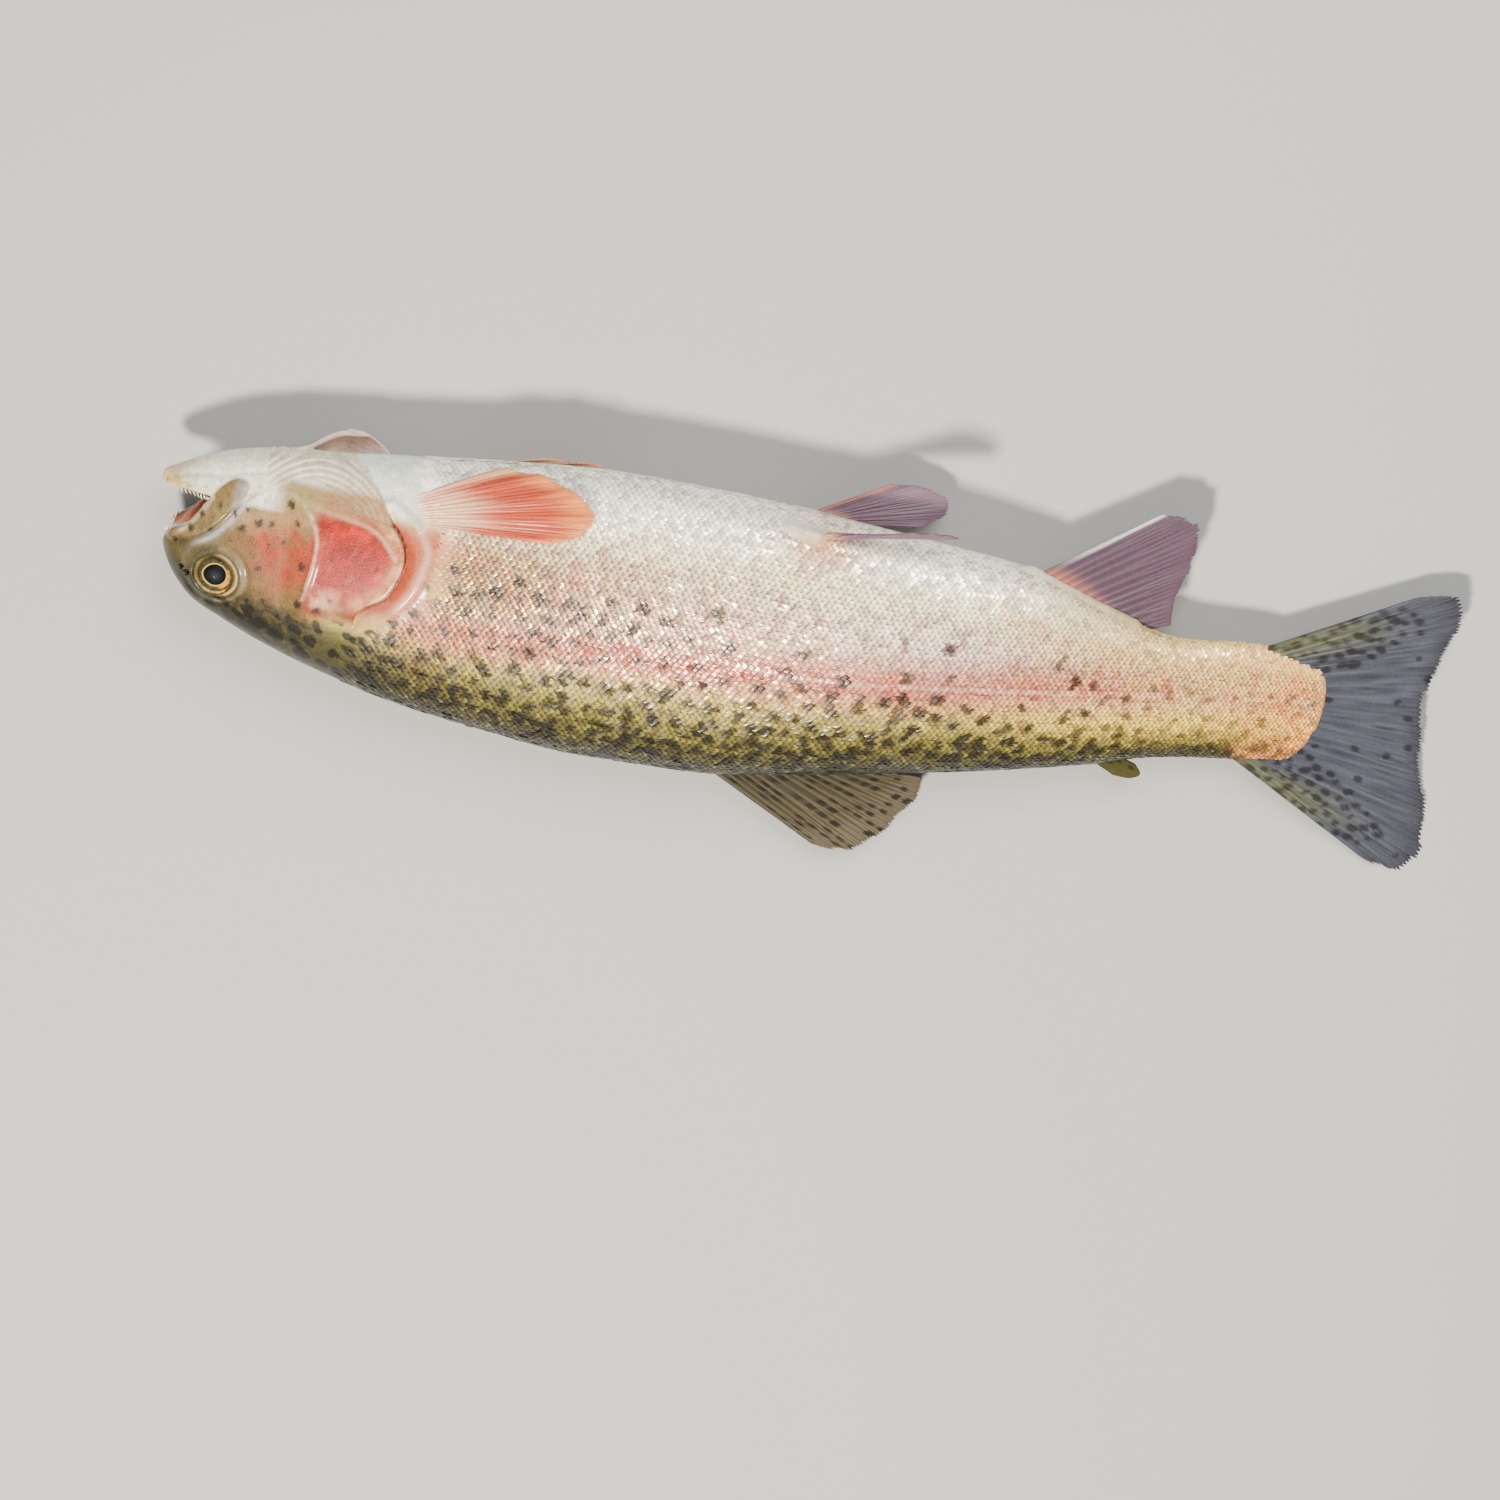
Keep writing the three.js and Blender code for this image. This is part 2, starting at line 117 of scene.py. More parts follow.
def settle(points):
    """Points of the fish's frame, laid down on the floor, in mm and before the shift to the origin."""
    x, y, z = points[..., 0], points[..., 1], points[..., 2]
    tail = np.clip((x - TAIL_SAG_FROM) / TAIL_SAG_LENGTH, 0, 1)
    head = np.clip(1 - x / HEAD_SAG_LENGTH, 0, 1)
    side = z - TAIL_SAG * tail**TAIL_SAG_POWER - HEAD_SAG * head**2
    out_y = y * math.cos(ROLL) - side * math.sin(ROLL)
    out_z = y * math.sin(ROLL) + side * math.cos(ROLL) + AXIS_HEIGHT
    eased = FLOOR_EASE * np.exp(np.minimum(out_z / FLOOR_EASE - 1, 0))
    return np.stack([x, out_y, np.where(out_z > FLOOR_EASE, out_z, eased)], axis=-1)


EYE_LOW, EYE_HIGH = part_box("eye_right")
SHIFT = (np.array(EYE_LOW) + np.array(EYE_HIGH)) * 500 - settle(EYE)
SHIFT[2] = 0.0


def lay_down(points):
    """Points of the fish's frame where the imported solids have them, in metres."""
    return (settle(np.asarray(points, float)) + SHIFT) / 1000


# ---- Small mathematics ----

def smoothstep(v, low, high):
    t = np.clip((v - low) / (high - low), 0, 1)
    return t * t * (3 - 2 * t)


def smax(a, b, k):
    """The larger of two distances, with the crease rounded over k."""
    h = np.clip(0.5 + 0.5 * (a - b) / k, 0, 1)
    return b + (a - b) * h + k * h * (1 - h)


def smin(a, b, k):
    return -smax(-a, -b, k)


def bell(v, width):
    return np.exp(-((v / width) ** 2))


def sample(table, i, j):
    """Values of a table between its cells, at fractional places i and j."""
    i = np.clip(i, 0, table.shape[0] - 1.001)
    j = np.clip(j, 0, table.shape[1] - 1.001)
    i0, j0 = i.astype(int), j.astype(int)
    fi, fj = i - i0, j - j0
    if table.ndim == 3:
        fi, fj = fi[..., None], fj[..., None]
    low = table[i0, j0] * (1 - fj) + table[i0, j0 + 1] * fj
    high = table[i0 + 1, j0] * (1 - fj) + table[i0 + 1, j0 + 1] * fj
    return low * (1 - fi) + high * fi


def spline(points, per=5, closed=False):
    """Points along a smooth line through the given ones."""
    p = np.asarray(points, float)
    n = len(p)
    get = (lambda i: p[i % n]) if closed else (lambda i: p[min(max(i, 0), n - 1)])
    out = []
    for i in range(n if closed else n - 1):
        p0, p1, p2, p3 = get(i - 1), get(i), get(i + 1), get(i + 2)
        for t in np.arange(per) / per:
            out.append(0.5 * (2 * p1 + (p2 - p0) * t + (2 * p0 - 5 * p1 + 4 * p2 - p3) * t * t
                              + (3 * p1 - p0 - 3 * p2 + p3) * t**3))
    if not closed:
        out.append(p[-1])
    return np.array(out)


def line_distance(x, y, points):
    """Distance in side view to an open line."""
    best = np.full(np.broadcast(x, y).shape, 1e9)
    for (ax, ay), (bx, by) in zip(points[:-1], points[1:]):
        dx, dy = bx - ax, by - ay
        t = np.clip(((x - ax) * dx + (y - ay) * dy) / max(dx * dx + dy * dy, 1e-9), 0, 1)
        best = np.minimum(best, (x - ax - t * dx) ** 2 + (y - ay - t * dy) ** 2)
    return np.sqrt(best)


def outline_distance(x, y, points):
    """Signed distance in side view to a closed outline, negative inside."""
    closed = np.vstack([points, points[:1]])
    inside = np.zeros(np.broadcast(x, y).shape, bool)
    for (ax, ay), (bx, by) in zip(closed[:-1], closed[1:]):
        if ay != by:
            inside ^= ((ay > y) != (by > y)) & (x < (bx - ax) * (y - ay) / (by - ay) + ax)
    return np.where(inside, -1, 1) * line_distance(x, y, closed)


def ellipsoid_distance(x, y, z, centre, radii):
    q = np.sqrt(((x - centre[0]) / radii[0]) ** 2 + ((y - centre[1]) / radii[1]) ** 2
                + ((z - centre[2]) / radii[2]) ** 2)
    return (q - 1) * min(radii)


# ---- Lines of the head, in side view ----

GAPE = np.array([(-6, -3.0), (0.2, -1.4), (1.9, 1.8), (4.6, 5.0), (8.8, 8.8), (12.7, 14.5), (15.0, 18.4), (7.3, 18.7), (2.5, 18.1), (-6, 17.0)])
LOWER_LIP = np.array([(15.0, 18.9), (7.3, 19.4), (2.5, 18.9), (-2, 18.6)])
MAXILLA = spline([(3.6, 2.6), (9, 4.4), (14.1, 7), (18.2, 11), (22, 16.2), (25.4, 21.4), (24.8, 24.6),
                  (21, 24.6), (17.3, 21.6), (14.6, 17.8), (12.2, 13.8), (8.4, 8.9), (3.4, 5.6)], 4, True)
MAXILLA_RIM = spline([(5, 3.0), (9, 4.2), (14.3, 6.8), (18.5, 10.8), (22.4, 16.0), (25.6, 21.4)], 4)
PREOPERCLE = spline([(30, 23.5), (33.2, 22.6), (37.3, 24.3), (42.8, 21.3), (45.9, 17.1), (47.3, 13.2),
                     (47.3, 7.8), (46.5, 1.8), (45.0, -5.9), (43, -12)], 4)
GILL_COVER = spline([(38, -8), (45, -14), (54, -15), (59.7, -12.2), (61, -7.2), (64.7, -3.7), (69.2, -0.3),
                     (72, 5.5), (73.1, 11), (71.8, 16), (67.9, 20.4), (60.4, 22.0), (52, 26.0),
                     (44.5, 28.9), (36, 26.4), (34.0, 22), (37.5, 8)], 4, True)
GILL_REAR = spline([(57, -14.5), (59.7, -12.2), (61, -7.2), (64.7, -3.7), (69.2, -0.3), (72, 5.5),
                    (73.1, 11), (71.8, 16), (67.9, 20.6), (63, 28.0), (57, 33), (49, 37.5)], 4)
SUBOPERCLE = spline([(42.6, 22.5), (47, 21.5), (53, 20.6), (60.4, 19.4), (66, 16.5), (70.5, 11)], 4)
INTEROPERCLE = spline([(33, 25.4), (38, 27.4), (44.5, 28.6), (52, 25.6), (60.4, 21.6), (67, 19.4)], 4)
MEMBRANE = spline([(31, 25.5), (36, 26.6), (44.5, 28.6), (52, 25.6), (60.4, 21.6), (68.2, 19.8),
                   (63.4, 28), (57.4, 33), (50, 37), (44, 41), (30, 41)], 4, True)
CLEITHRUM = spline([(58, -16), (62.5, -11.8), (69.8, -6.6), (76.0, 1.7), (79.0, 10.9), (79.0, 16), (76, 22)], 4)
JAW_FOLD = spline([(6, 22.6), (13, 24.0), (20, 25.4), (27, 27.5), (31, 28)], 4)
RAY_CENTRE, RAY_PITCH = (47.0, 15.5), 1.5  # the branchiostegal rays bend round this point
ORBIT_RIM = 7.5  # distance of the raised rim from the eye's middle
NOSTRILS = ((8.4, -4.6, 0.75), (10.2, -6.0, 1.0))  # x, y and radius
LEFT_SWING = math.radians(17)
HINGE_Y, HINGE_Z, SWUNG_BY, SWING_FRONT, SWING_FREE = 3.0, -17.5, 34.0, 36.0, 50.0
MOUTH_HOLLOWS = (((13, 10.6, 0), (15, 5.6, 7.0)), ((12.5, 18.0, 0), (11.5, 4.4, 5.4)),
                 ((27, 17, 0), (11, 5.6, 6.2)))
FIN_ROOTS = (
    ((163, -44.5, 0), (205, -38, 0), 1.6), ((274, -25, 0), (283, -23.4, 0), 1.1),
    ((251, 31, 0), (283, 19, 0), 1.4), ((181, 35.5, -6.5), (189, 35, -8), 2.0),
    ((181, 35.5, 7), (189, 35, 9), 2.0), ((67, 26, 13.2), (75, 22, 15.6), 1.3),
    ((67, 26, -13.2), (75, 22, -15.6), 1.3),
)
MAP_PITCH, MAP_X0, MAP_Y0 = 0.3, -8.0, -54.0
(GAPE_D, MAXILLA_D, COVER_D, MEMBRANE_D, RELIEF, RECESS, PROUD, RIBS,
 PRE_D, REAR_D, CLEITHRUM_D, SUB_D, INTER_D, RIM_D) = range(14)


def head_maps():
    """Side-view tables of the head's lines and reliefs, one layer for each name above."""
    x = np.arange(MAP_X0, 94, MAP_PITCH)[:, None]
    y = np.arange(MAP_Y0, 58, MAP_PITCH)[None, :]
    layers = [None] * 14
    layers[GAPE_D] = outline_distance(x, y, GAPE)
    layers[MAXILLA_D] = outline_distance(x, y, MAXILLA)
    layers[COVER_D] = outline_distance(x, y, GILL_COVER)
    layers[MEMBRANE_D] = outline_distance(x, y, MEMBRANE)
    layers[PRE_D] = line_distance(x, y, PREOPERCLE)
    layers[REAR_D] = line_distance(x, y, GILL_REAR)
    layers[CLEITHRUM_D] = line_distance(x, y, CLEITHRUM)
    layers[SUB_D] = line_distance(x, y, SUBOPERCLE)
    layers[INTER_D] = line_distance(x, y, INTEROPERCLE)
    layers[RIM_D] = line_distance(x, y, MAXILLA_RIM)
    from_eye = np.hypot(x - EYE[0], y - EYE[1])
    relief = -0.4 * bell(line_distance(x, y, JAW_FOLD), 0.7)
    relief = relief + 0.35 * bell(line_distance(x, y, LOWER_LIP), 0.9)
    relief = relief - 0.5 * bell(layers[RIM_D], 0.8)
    relief = relief + 0.42 * bell(from_eye - ORBIT_RIM, 1.0) - 0.25 * bell(from_eye - ORBIT_RIM - 2.1, 0.9)
    relief = relief + 0.4 * bell(layers[CLEITHRUM_D], 1.6)
    for nx, ny, radius in NOSTRILS:
        near = np.hypot(x - nx, y - ny)
        relief = relief + 0.35 * bell(near - radius - 0.4, 0.45) - 1.6 * bell(near, radius * 0.8)
    layers[RELIEF] = relief
    free = np.minimum(layers[COVER_D], layers[MEMBRANE_D])
    low = smoothstep(y, -13, -5)
    layers[RECESS] = (1.9 * smoothstep(free, 3.4, -0.5) * smoothstep(x, 40, 48) * (0.1 + 0.9 * low)
                      * (1 - 0.75 * smoothstep(y, 20, 25)))
    front = smoothstep(x, 37, 46) * (0.25 + 0.75 * low)
    layers[PROUD] = (-0.1 + 0.85 * front + 0.3 * bell(layers[PRE_D], 1.0) * low - 0.15 * bell(layers[SUB_D], 0.8)
                     + 0.12 * bell(layers[REAR_D] - 0.9, 0.9) * front)
    turn = np.hypot((x - RAY_CENTRE[0]) * 0.86, y - RAY_CENTRE[1])
    layers[RIBS] = 0.22 * np.cos(2 * np.pi * turn / RAY_PITCH) * smoothstep(turn, 9, 12)
    return np.stack([np.broadcast_to(v, (x.size, y.size)) for v in layers], axis=-1).astype(np.float32)


HEAD_MAPS = head_maps()
HEAD_MAPS_END = 90.0


def head_lookup(x, y):
    return sample(HEAD_MAPS, (x - MAP_X0) / MAP_PITCH, (y - MAP_Y0) / MAP_PITCH)


# ---- The skin as a distance field ----

def tail_end(y):
    """Where the scaled tail ends in an arc over the tail fin."""
    return TAIL_X + 1.0 - 0.02 * (y - 2) ** 2


def body_field(x, y, z, lift=0.0):
    """Distance to the plain body, with its blunt snout and the rounded end at the tail fin."""
    back, belly, wide = (section(x, c) for c in (BACK, BELLY, HALF_WIDTH))
    tall, off = (belly - back) / 2 + lift, np.abs(y - (belly + back) / 2)
    q = (off / tall) ** SECTION_POWER + (np.abs(z) / (wide + lift)) ** SECTION_POWER
    q = np.maximum(q, 1e-4) ** (1 / SECTION_POWER)
    r = np.sqrt(off**2 + z**2)
    ahead = x + 0.8
    grow = ((section(ahead, BELLY) - section(ahead, BACK)) / 2 + lift - tall) / 0.8
    steep = (grow * off / np.maximum(r, 1e-3)) ** 2
    d = r * (1 - 1 / q) / np.sqrt(1 + steep)
    d = smax(d, SNOUT_X - x, 1.0)
    return smax(d, (x - tail_end(y) - 0.4) * 0.8, 1.2)


def shut_again(x, y, z):
    """Where a point near the spread left gill cover would be if that cover were shut."""
    side = y
    for _ in range(3):
        turn = LEFT_SWING * smoothstep(side, HINGE_Y, SWUNG_BY) * smoothstep(x, SWING_FRONT, SWING_FREE)
        side = HINGE_Y + (y - HINGE_Y) * np.cos(turn) - (z - HINGE_Z) * np.sin(turn)
    return side, HINGE_Z + (y - HINGE_Y) * np.sin(turn) + (z - HINGE_Z) * np.cos(turn)


def gill_field(x, y, z):
    """The gill covers and their rayed membranes: thin sheets that overlap the body from the cheek back."""
    shut_y, shut_z = shut_again(x, y, z)
    left = z < 0
    y, z = np.where(left, shut_y, y), np.where(left, np.minimum(shut_z, 0.2), z)
    maps = head_lookup(x, y)
    plain = body_field(x, y, z, SKIN_LIFT)
    proud = maps[..., PROUD]
    sheet = smax(smax(plain - proud, -(plain + 1.7), 0.3), maps[..., COVER_D], 0.5)
    apart = 0.35 - np.abs(z)
    edge = smax(maps[..., MEMBRANE_D], apart, 0.3)
    flap = smax(smax(plain - 0.25 - maps[..., RIBS], -(plain + 1.5), 0.3), edge, 0.5)
    return smin(sheet, flap, 0.25)


def head_field(x, y, z, plain):
    """The head: mouth, jaws, eye sockets, nostrils and gill covers."""
    side = np.abs(z)
    maps = head_lookup(x, y)
    facing = smoothstep(side, 2, 6)
    d = plain + maps[..., RECESS] * smoothstep(side, 1.0, 4.0) - maps[..., RELIEF] * facing
    d = smax(d, -maps[..., GAPE_D], 0.9)
    for centre, radii in MOUTH_HOLLOWS:
        d = smax(d, -ellipsoid_distance(x, y, z, centre, radii), 1.2)
    plate = smax(smax(plain - 0.4, -(plain + 2.5), 0.4), smax(maps[..., MAXILLA_D] + 0.35, 1.6 - side, 0.5), 0.9)
    d = smin(d, plate, 0.3)
    d = smax(d, -ellipsoid_distance(x, y, side, EYE, (EYE_RADIUS - 0.25, EYE_RADIUS - 0.25, EYE_DEPTH + 1.2)), 0.35)
    return smin(d, gill_field(x, y, z), 0.12)


def skin_field(p):
    """Distance to the skin from each point of a list, negative inside."""
    x, y, z = p.T
    plain = body_field(x, y, z, SKIN_LIFT)
    d = plain.copy()
    head = np.nonzero(x < HEAD_MAPS_END)[0]
    d[head] = head_field(x[head], y[head], z[head], plain[head])
    for start, end, radius in FIN_ROOTS:
        a, b = np.array(start), np.array(end)
        near = np.nonzero((x > a[0] - 8) & (x < b[0] + 8))[0]
        along = b - a
        rel = p[near] - a
        t = np.clip(rel @ along / (along @ along), 0, 1)
        away = np.linalg.norm(rel - t[:, None] * along, axis=1)
        d[near] = smin(d[near], away - radius, 2.4)
    return d


def surface_net(field, axes):
    """Vertices and quads of the zero level of a field held on a grid."""
    inside = field < 0
    nx, ny, nz = field.shape
    corners = [(i, j, k) for i in (0, 1) for j in (0, 1) for k in (0, 1)]
    total = sum(inside[i:nx - 1 + i, j:ny - 1 + j, k:nz - 1 + k].astype(np.int8) for i, j, k in corners)
    cells = np.array(np.nonzero((total > 0) & (total < 8))).T
    number = np.full((nx - 1, ny - 1, nz - 1), -1, np.int32)
    number[tuple(cells.T)] = np.arange(len(cells))
    places, count = np.zeros((len(cells), 3)), np.zeros(len(cells))
    at = lambda index: np.stack([axes[n][index[:, n]] for n in range(3)], 1)
    for axis in range(3):
        for u in (0, 1):
            for v in (0, 1):
                low = [u, v]
                low.insert(axis, 0)
                a = cells + low
                b = a + np.eye(3, dtype=int)[axis]
                fa, fb = field[tuple(a.T)], field[tuple(b.T)]
                crossed = (fa < 0) != (fb < 0)
                t = np.where(crossed, fa / np.where(crossed, fa - fb, 1), 0)[:, None]
                places += np.where(crossed[:, None], at(a) * (1 - t) + at(b) * t, 0)
                count += crossed
    places /= count[:, None]
    quads = []
    for axis in range(3):
        low, high = [slice(1, n - 1) for n in field.shape], [slice(1, n - 1) for n in field.shape]
        low[axis], high[axis] = slice(0, field.shape[axis] - 1), slice(1, field.shape[axis])
        start = inside[tuple(low)]
        edge = np.array(np.nonzero(start != inside[tuple(high)])).T + [0 if n == axis else 1 for n in range(3)]
        u, v = [n for n in range(3) if n != axis]
        ring = []
        for du, dv in ((0, 0), (1, 0), (1, 1), (0, 1)):
            cell = edge.copy()
            cell[:, u] -= du
            cell[:, v] -= dv
            ring.append(number[tuple(cell.T)])
        quad = np.stack(ring, 1)
        flip = inside[tuple(edge.T)] == (axis == 1)
        quad[flip] = quad[flip][:, ::-1]
        quads.append(quad)
    return places, np.vstack(quads)


def pull_to_surface(points, rounds=2, reach=0.3):
    """Moves points onto the skin's zero level, each by a little."""
    step = 0.1
    p = points.copy()
    for _ in range(rounds):
        here = skin_field(p)
        slope = np.stack([(skin_field(p + step * axis) - here) / step for axis in np.eye(3)], 1)
        move = here[:, None] * slope / np.maximum((slope**2).sum(1, keepdims=True), 0.25)
        length = np.linalg.norm(move, axis=1, keepdims=True)
        p -= move * np.minimum(1, reach / np.maximum(length, 1e-9))
    return p


HEAD_PITCH = 0.5
BODY_PITCH = (2.2, 1.1, 1.1)
HEAD_REACH = 83.0
BAND = 3.6  # how far from the plain body the field is worked out in full
SIDE_REACH, DEPTH_REACH = 50.0, 25.0


def net_between(start, end, pitch):
    xs = np.arange(start, end + pitch[0] / 2, pitch[0])
    ys = np.arange(-SIDE_REACH, SIDE_REACH + 1, pitch[1])
    zs = np.arange(-DEPTH_REACH, DEPTH_REACH + 1, pitch[2])
    x, y, z = (v.ravel() for v in np.meshgrid(xs, ys, zs, indexing="ij"))
    field = body_field(x, y, z, SKIN_LIFT)
    mouth = (x < 40) & (np.abs(z) < 12)
    spread = (x > 34) & (x < 78) & (z < -6) & (y > 0)
    full = np.nonzero((np.abs(field) < BAND) | mouth | spread | ((np.abs(field) < 7) & (x > 150)))[0]
    field[full] = skin_field(np.stack([x[full], y[full], z[full]], 1))
    return surface_net(field.reshape(len(xs), len(ys), len(zs)), (xs, ys, zs))


def open_rim(quads, count, points, at_end):
    """The vertices on a net's open end, sorted by their angle round the body."""
    edges = np.sort(np.vstack([quads[:, [i, (i + 1) % 4]] for i in range(4)]), axis=1)
    code = edges[:, 0].astype(np.int64) * count + edges[:, 1]
    unique, times = np.unique(code, return_counts=True)
    single = unique[times == 1]
    rim = np.unique(np.concatenate([single // count, single % count]))
    reach = points[rim, 0].max() if at_end else points[rim, 0].min()
    rim = rim[np.abs(points[rim, 0] - reach) < 1.2]
    return rim[np.argsort(np.arctan2(points[rim, 2], points[rim, 1]))]


def zip_rims(first, second, points):
    """Triangles that close the gap between two rims."""
    angle = lambda i: math.atan2(points[i, 2], points[i, 1])
    out, i, j = [], 0, 0
    while i < len(first) or j < len(second):
        a, b = first[i % len(first)], second[j % len(second)]
        next_a = angle(first[i + 1]) if i + 1 < len(first) else 9 + i - len(first)
        next_b = angle(second[j + 1]) if j + 1 < len(second) else 9 + j - len(second)
        if i < len(first) and (next_a <= next_b or j >= len(second)):
            i += 1
            out.append((a, b, first[i % len(first)]))
        else:
            j += 1
            out.append((a, b, second[j % len(second)]))
    return out


def skin_mesh():
    """The whole skin: a fine net over the head, a coarser one over the body, zipped together."""
    head, head_quads = net_between(SNOUT_X - 3, HEAD_REACH, (HEAD_PITCH,) * 3)
    body, body_quads = net_between(HEAD_REACH + 0.4, TAIL_X + 4, BODY_PITCH)
    points = pull_to_surface(np.vstack([head, body]))
    head_rim = open_rim(head_quads, len(head), head, True)
    body_rim = open_rim(body_quads, len(body), body, False) + len(head)
    zipped = zip_rims(head_rim, body_rim, points)
    faces = head_quads.tolist() + (body_quads + len(head)).tolist() + zipped
    return points, faces


# ---- The flank unrolled: distance from the snout by distance round the body from the back's midline ----

CHART_X = np.arange(SNOUT_X, TAIL_X + 1.5, 1.0)
CHART_ANGLES = np.linspace(np.pi, 0, 361)
CHART_STEPS = 400


def arc_table():
    points = skin_point(CHART_X[:, None], CHART_ANGLES[None, :])
    steps = np.linalg.norm(np.diff(points, axis=1), axis=2)
    return np.concatenate([np.zeros((len(CHART_X), 1)), np.cumsum(steps, 1)], 1)


ARC = arc_table()
HALF_GIRTH = ARC[:, -1]
ANGLE_AT = np.array([np.interp(np.linspace(0, 1, CHART_STEPS + 1) * row[-1], row, CHART_ANGLES) for row in ARC])


def half_girth(x):
    return np.interp(x, CHART_X, HALF_GIRTH)


def flank_point(x, arc, lift=0.0):
    """The skin's point at x and at a signed distance round the body: + on the right side, - on the left."""
    u = np.clip(np.abs(arc) / half_girth(x), 0, 1)
    angle = sample(ANGLE_AT, np.asarray(x - SNOUT_X, float), u * CHART_STEPS)
    return skin_point(x, angle * np.where(arc < 0, -1, 1), lift)


def flank_arc(points):
    """The signed distance round the body of points near the skin."""
    x, y, z = points.T
    back, belly, wide = (section(x, c) for c in (BACK, BELLY, HALF_WIDTH))
    tall = (belly - back) / 2
    off = (y - (back + belly) / 2) / tall
    c = np.sign(off) * np.abs(off) ** (SECTION_POWER / 2)
    s = (np.abs(z) / wide) ** (SECTION_POWER / 2)
    angle = np.arctan2(s, c)
    arc = sample(ARC, x - SNOUT_X, (np.pi - angle) / np.pi * 360)
    return arc * np.where(z < 0, -1, 1)


def height(x, y):
    """-1 at the back's midline, +1 at the belly's."""
    back, belly = section(x, BACK), section(x, BELLY)
    return (2 * y - back - belly) / (belly - back)


# ---- Markings: the same for skin and scales ----

def rgb(red, green, blue):
    """A colour picked in 0-255 display values, as linear light."""
    v = np.array((red, green, blue)) / 255
    return np.where(v <= 0.04045, v / 12.92, ((v + 0.055) / 1.055) ** 2.4)


DARK_BACK = rgb(34, 32, 19)
OLIVE = rgb(64, 61, 30)
TAN = rgb(122, 114, 52)
CREAM = rgb(190, 172, 96)
STRIPE = rgb(178, 62, 44)
BLUSH = rgb(210, 126, 98)
SILVER = rgb(255, 247, 240)
PEARL = rgb(254, 252, 216)
PEARL_GREY = rgb(150, 150, 156)
BELLY_WHITE = rgb(240, 246, 240)
PEDUNCLE = rgb(224, 190, 78)
TAIL_PINK = rgb(240, 160, 88)
SPOT = rgb(15, 11, 9)
SHOULDER_TAN = rgb(150, 114, 66)
FLANK_TAN = rgb(192, 142, 106)
RIM_YELLOW = rgb(214, 178, 112)
THROAT_BLUE = rgb(196, 206, 214)
HEAD_TOP = rgb(38, 38, 24)
SNOUT = rgb(66, 60, 38)
CHEEK = rgb(102, 82, 42)
CHEEK_GREY = rgb(156, 136, 94)
ORBIT_GREY = rgb(84, 78, 56)
CHEEK_PINK = rgb(148, 42, 6)
GILL_RED = rgb(142, 8, 2)
GILL_PINK = rgb(160, 32, 18)
BONE_EDGE = rgb(226, 206, 170)
MAXILLA_TAN = rgb(108, 90, 50)
JAW_WHITE = rgb(228, 226, 206)
JAW_TIP = rgb(200, 170, 90)
THROAT_WHITE = rgb(222, 228, 218)
# a pale pink made brighter as painted light, for light shining through the thin spread gill flap while it lies in shade
FLAP_LIT_PINK = rgb(250, 220, 206)
MEMBRANE_TAN = rgb(176, 150, 118)
MOUTH_PINK = rgb(200, 130, 100)
GILL_SLIT = rgb(130, 30, 28)
SHOULDER_PINK = rgb(168, 58, 32)

LATERAL = np.array([(60, 3.5), (81, 4.4), (132, 0.2), (186, -4.6), (209, -3.8), (249, -1.3), (266, -0.5),
                    (307, 1.9), (345, 2.7)])
STRIPE_MIDDLE = np.array([(60, -6.5), (97, -6.5), (131, -4.8), (190, -3.8), (220, -2.6), (250, 0.4), (275, 2.4), (345, 3)])
STRIPE_HALF = np.array([(60, 5.5), (90, 6), (131, 6.4), (190, 7.4), (220, 7), (250, 7), (275, 5.5), (345, 4)])
SPOT_PITCH = 0.2
SPOT_ARC = 116.0  # the spot map runs this far round the body on both sides


def along(table, x):
    return np.interp(x, table[:, 0], table[:, 1])


def spot_room(x, h):
    """How far apart spots are, mm, at a height between the back and the belly."""
    back = 3.7 + 1.6 * smoothstep(h, -0.75, -0.3)
    front = 15 * (1 - smoothstep(x, 60, 76) * (1 - smoothstep(x, 150, 210)))
    rear = 12 * (1 - smoothstep(x, 225, 285))
    low = 5.0 + np.minimum(front, rear) * smoothstep(h, -0.2, 0.05) + 60 * smoothstep(h, 0.3, 0.5)
    head = 0.5 * (1 - smoothstep(x, 52, 62))
    cheek = np.where(h < 0.3, 5.0, 90)
    return np.where(x < 62, np.where(h < -0.3, back + head, cheek), np.where(h < -0.2, back, low))


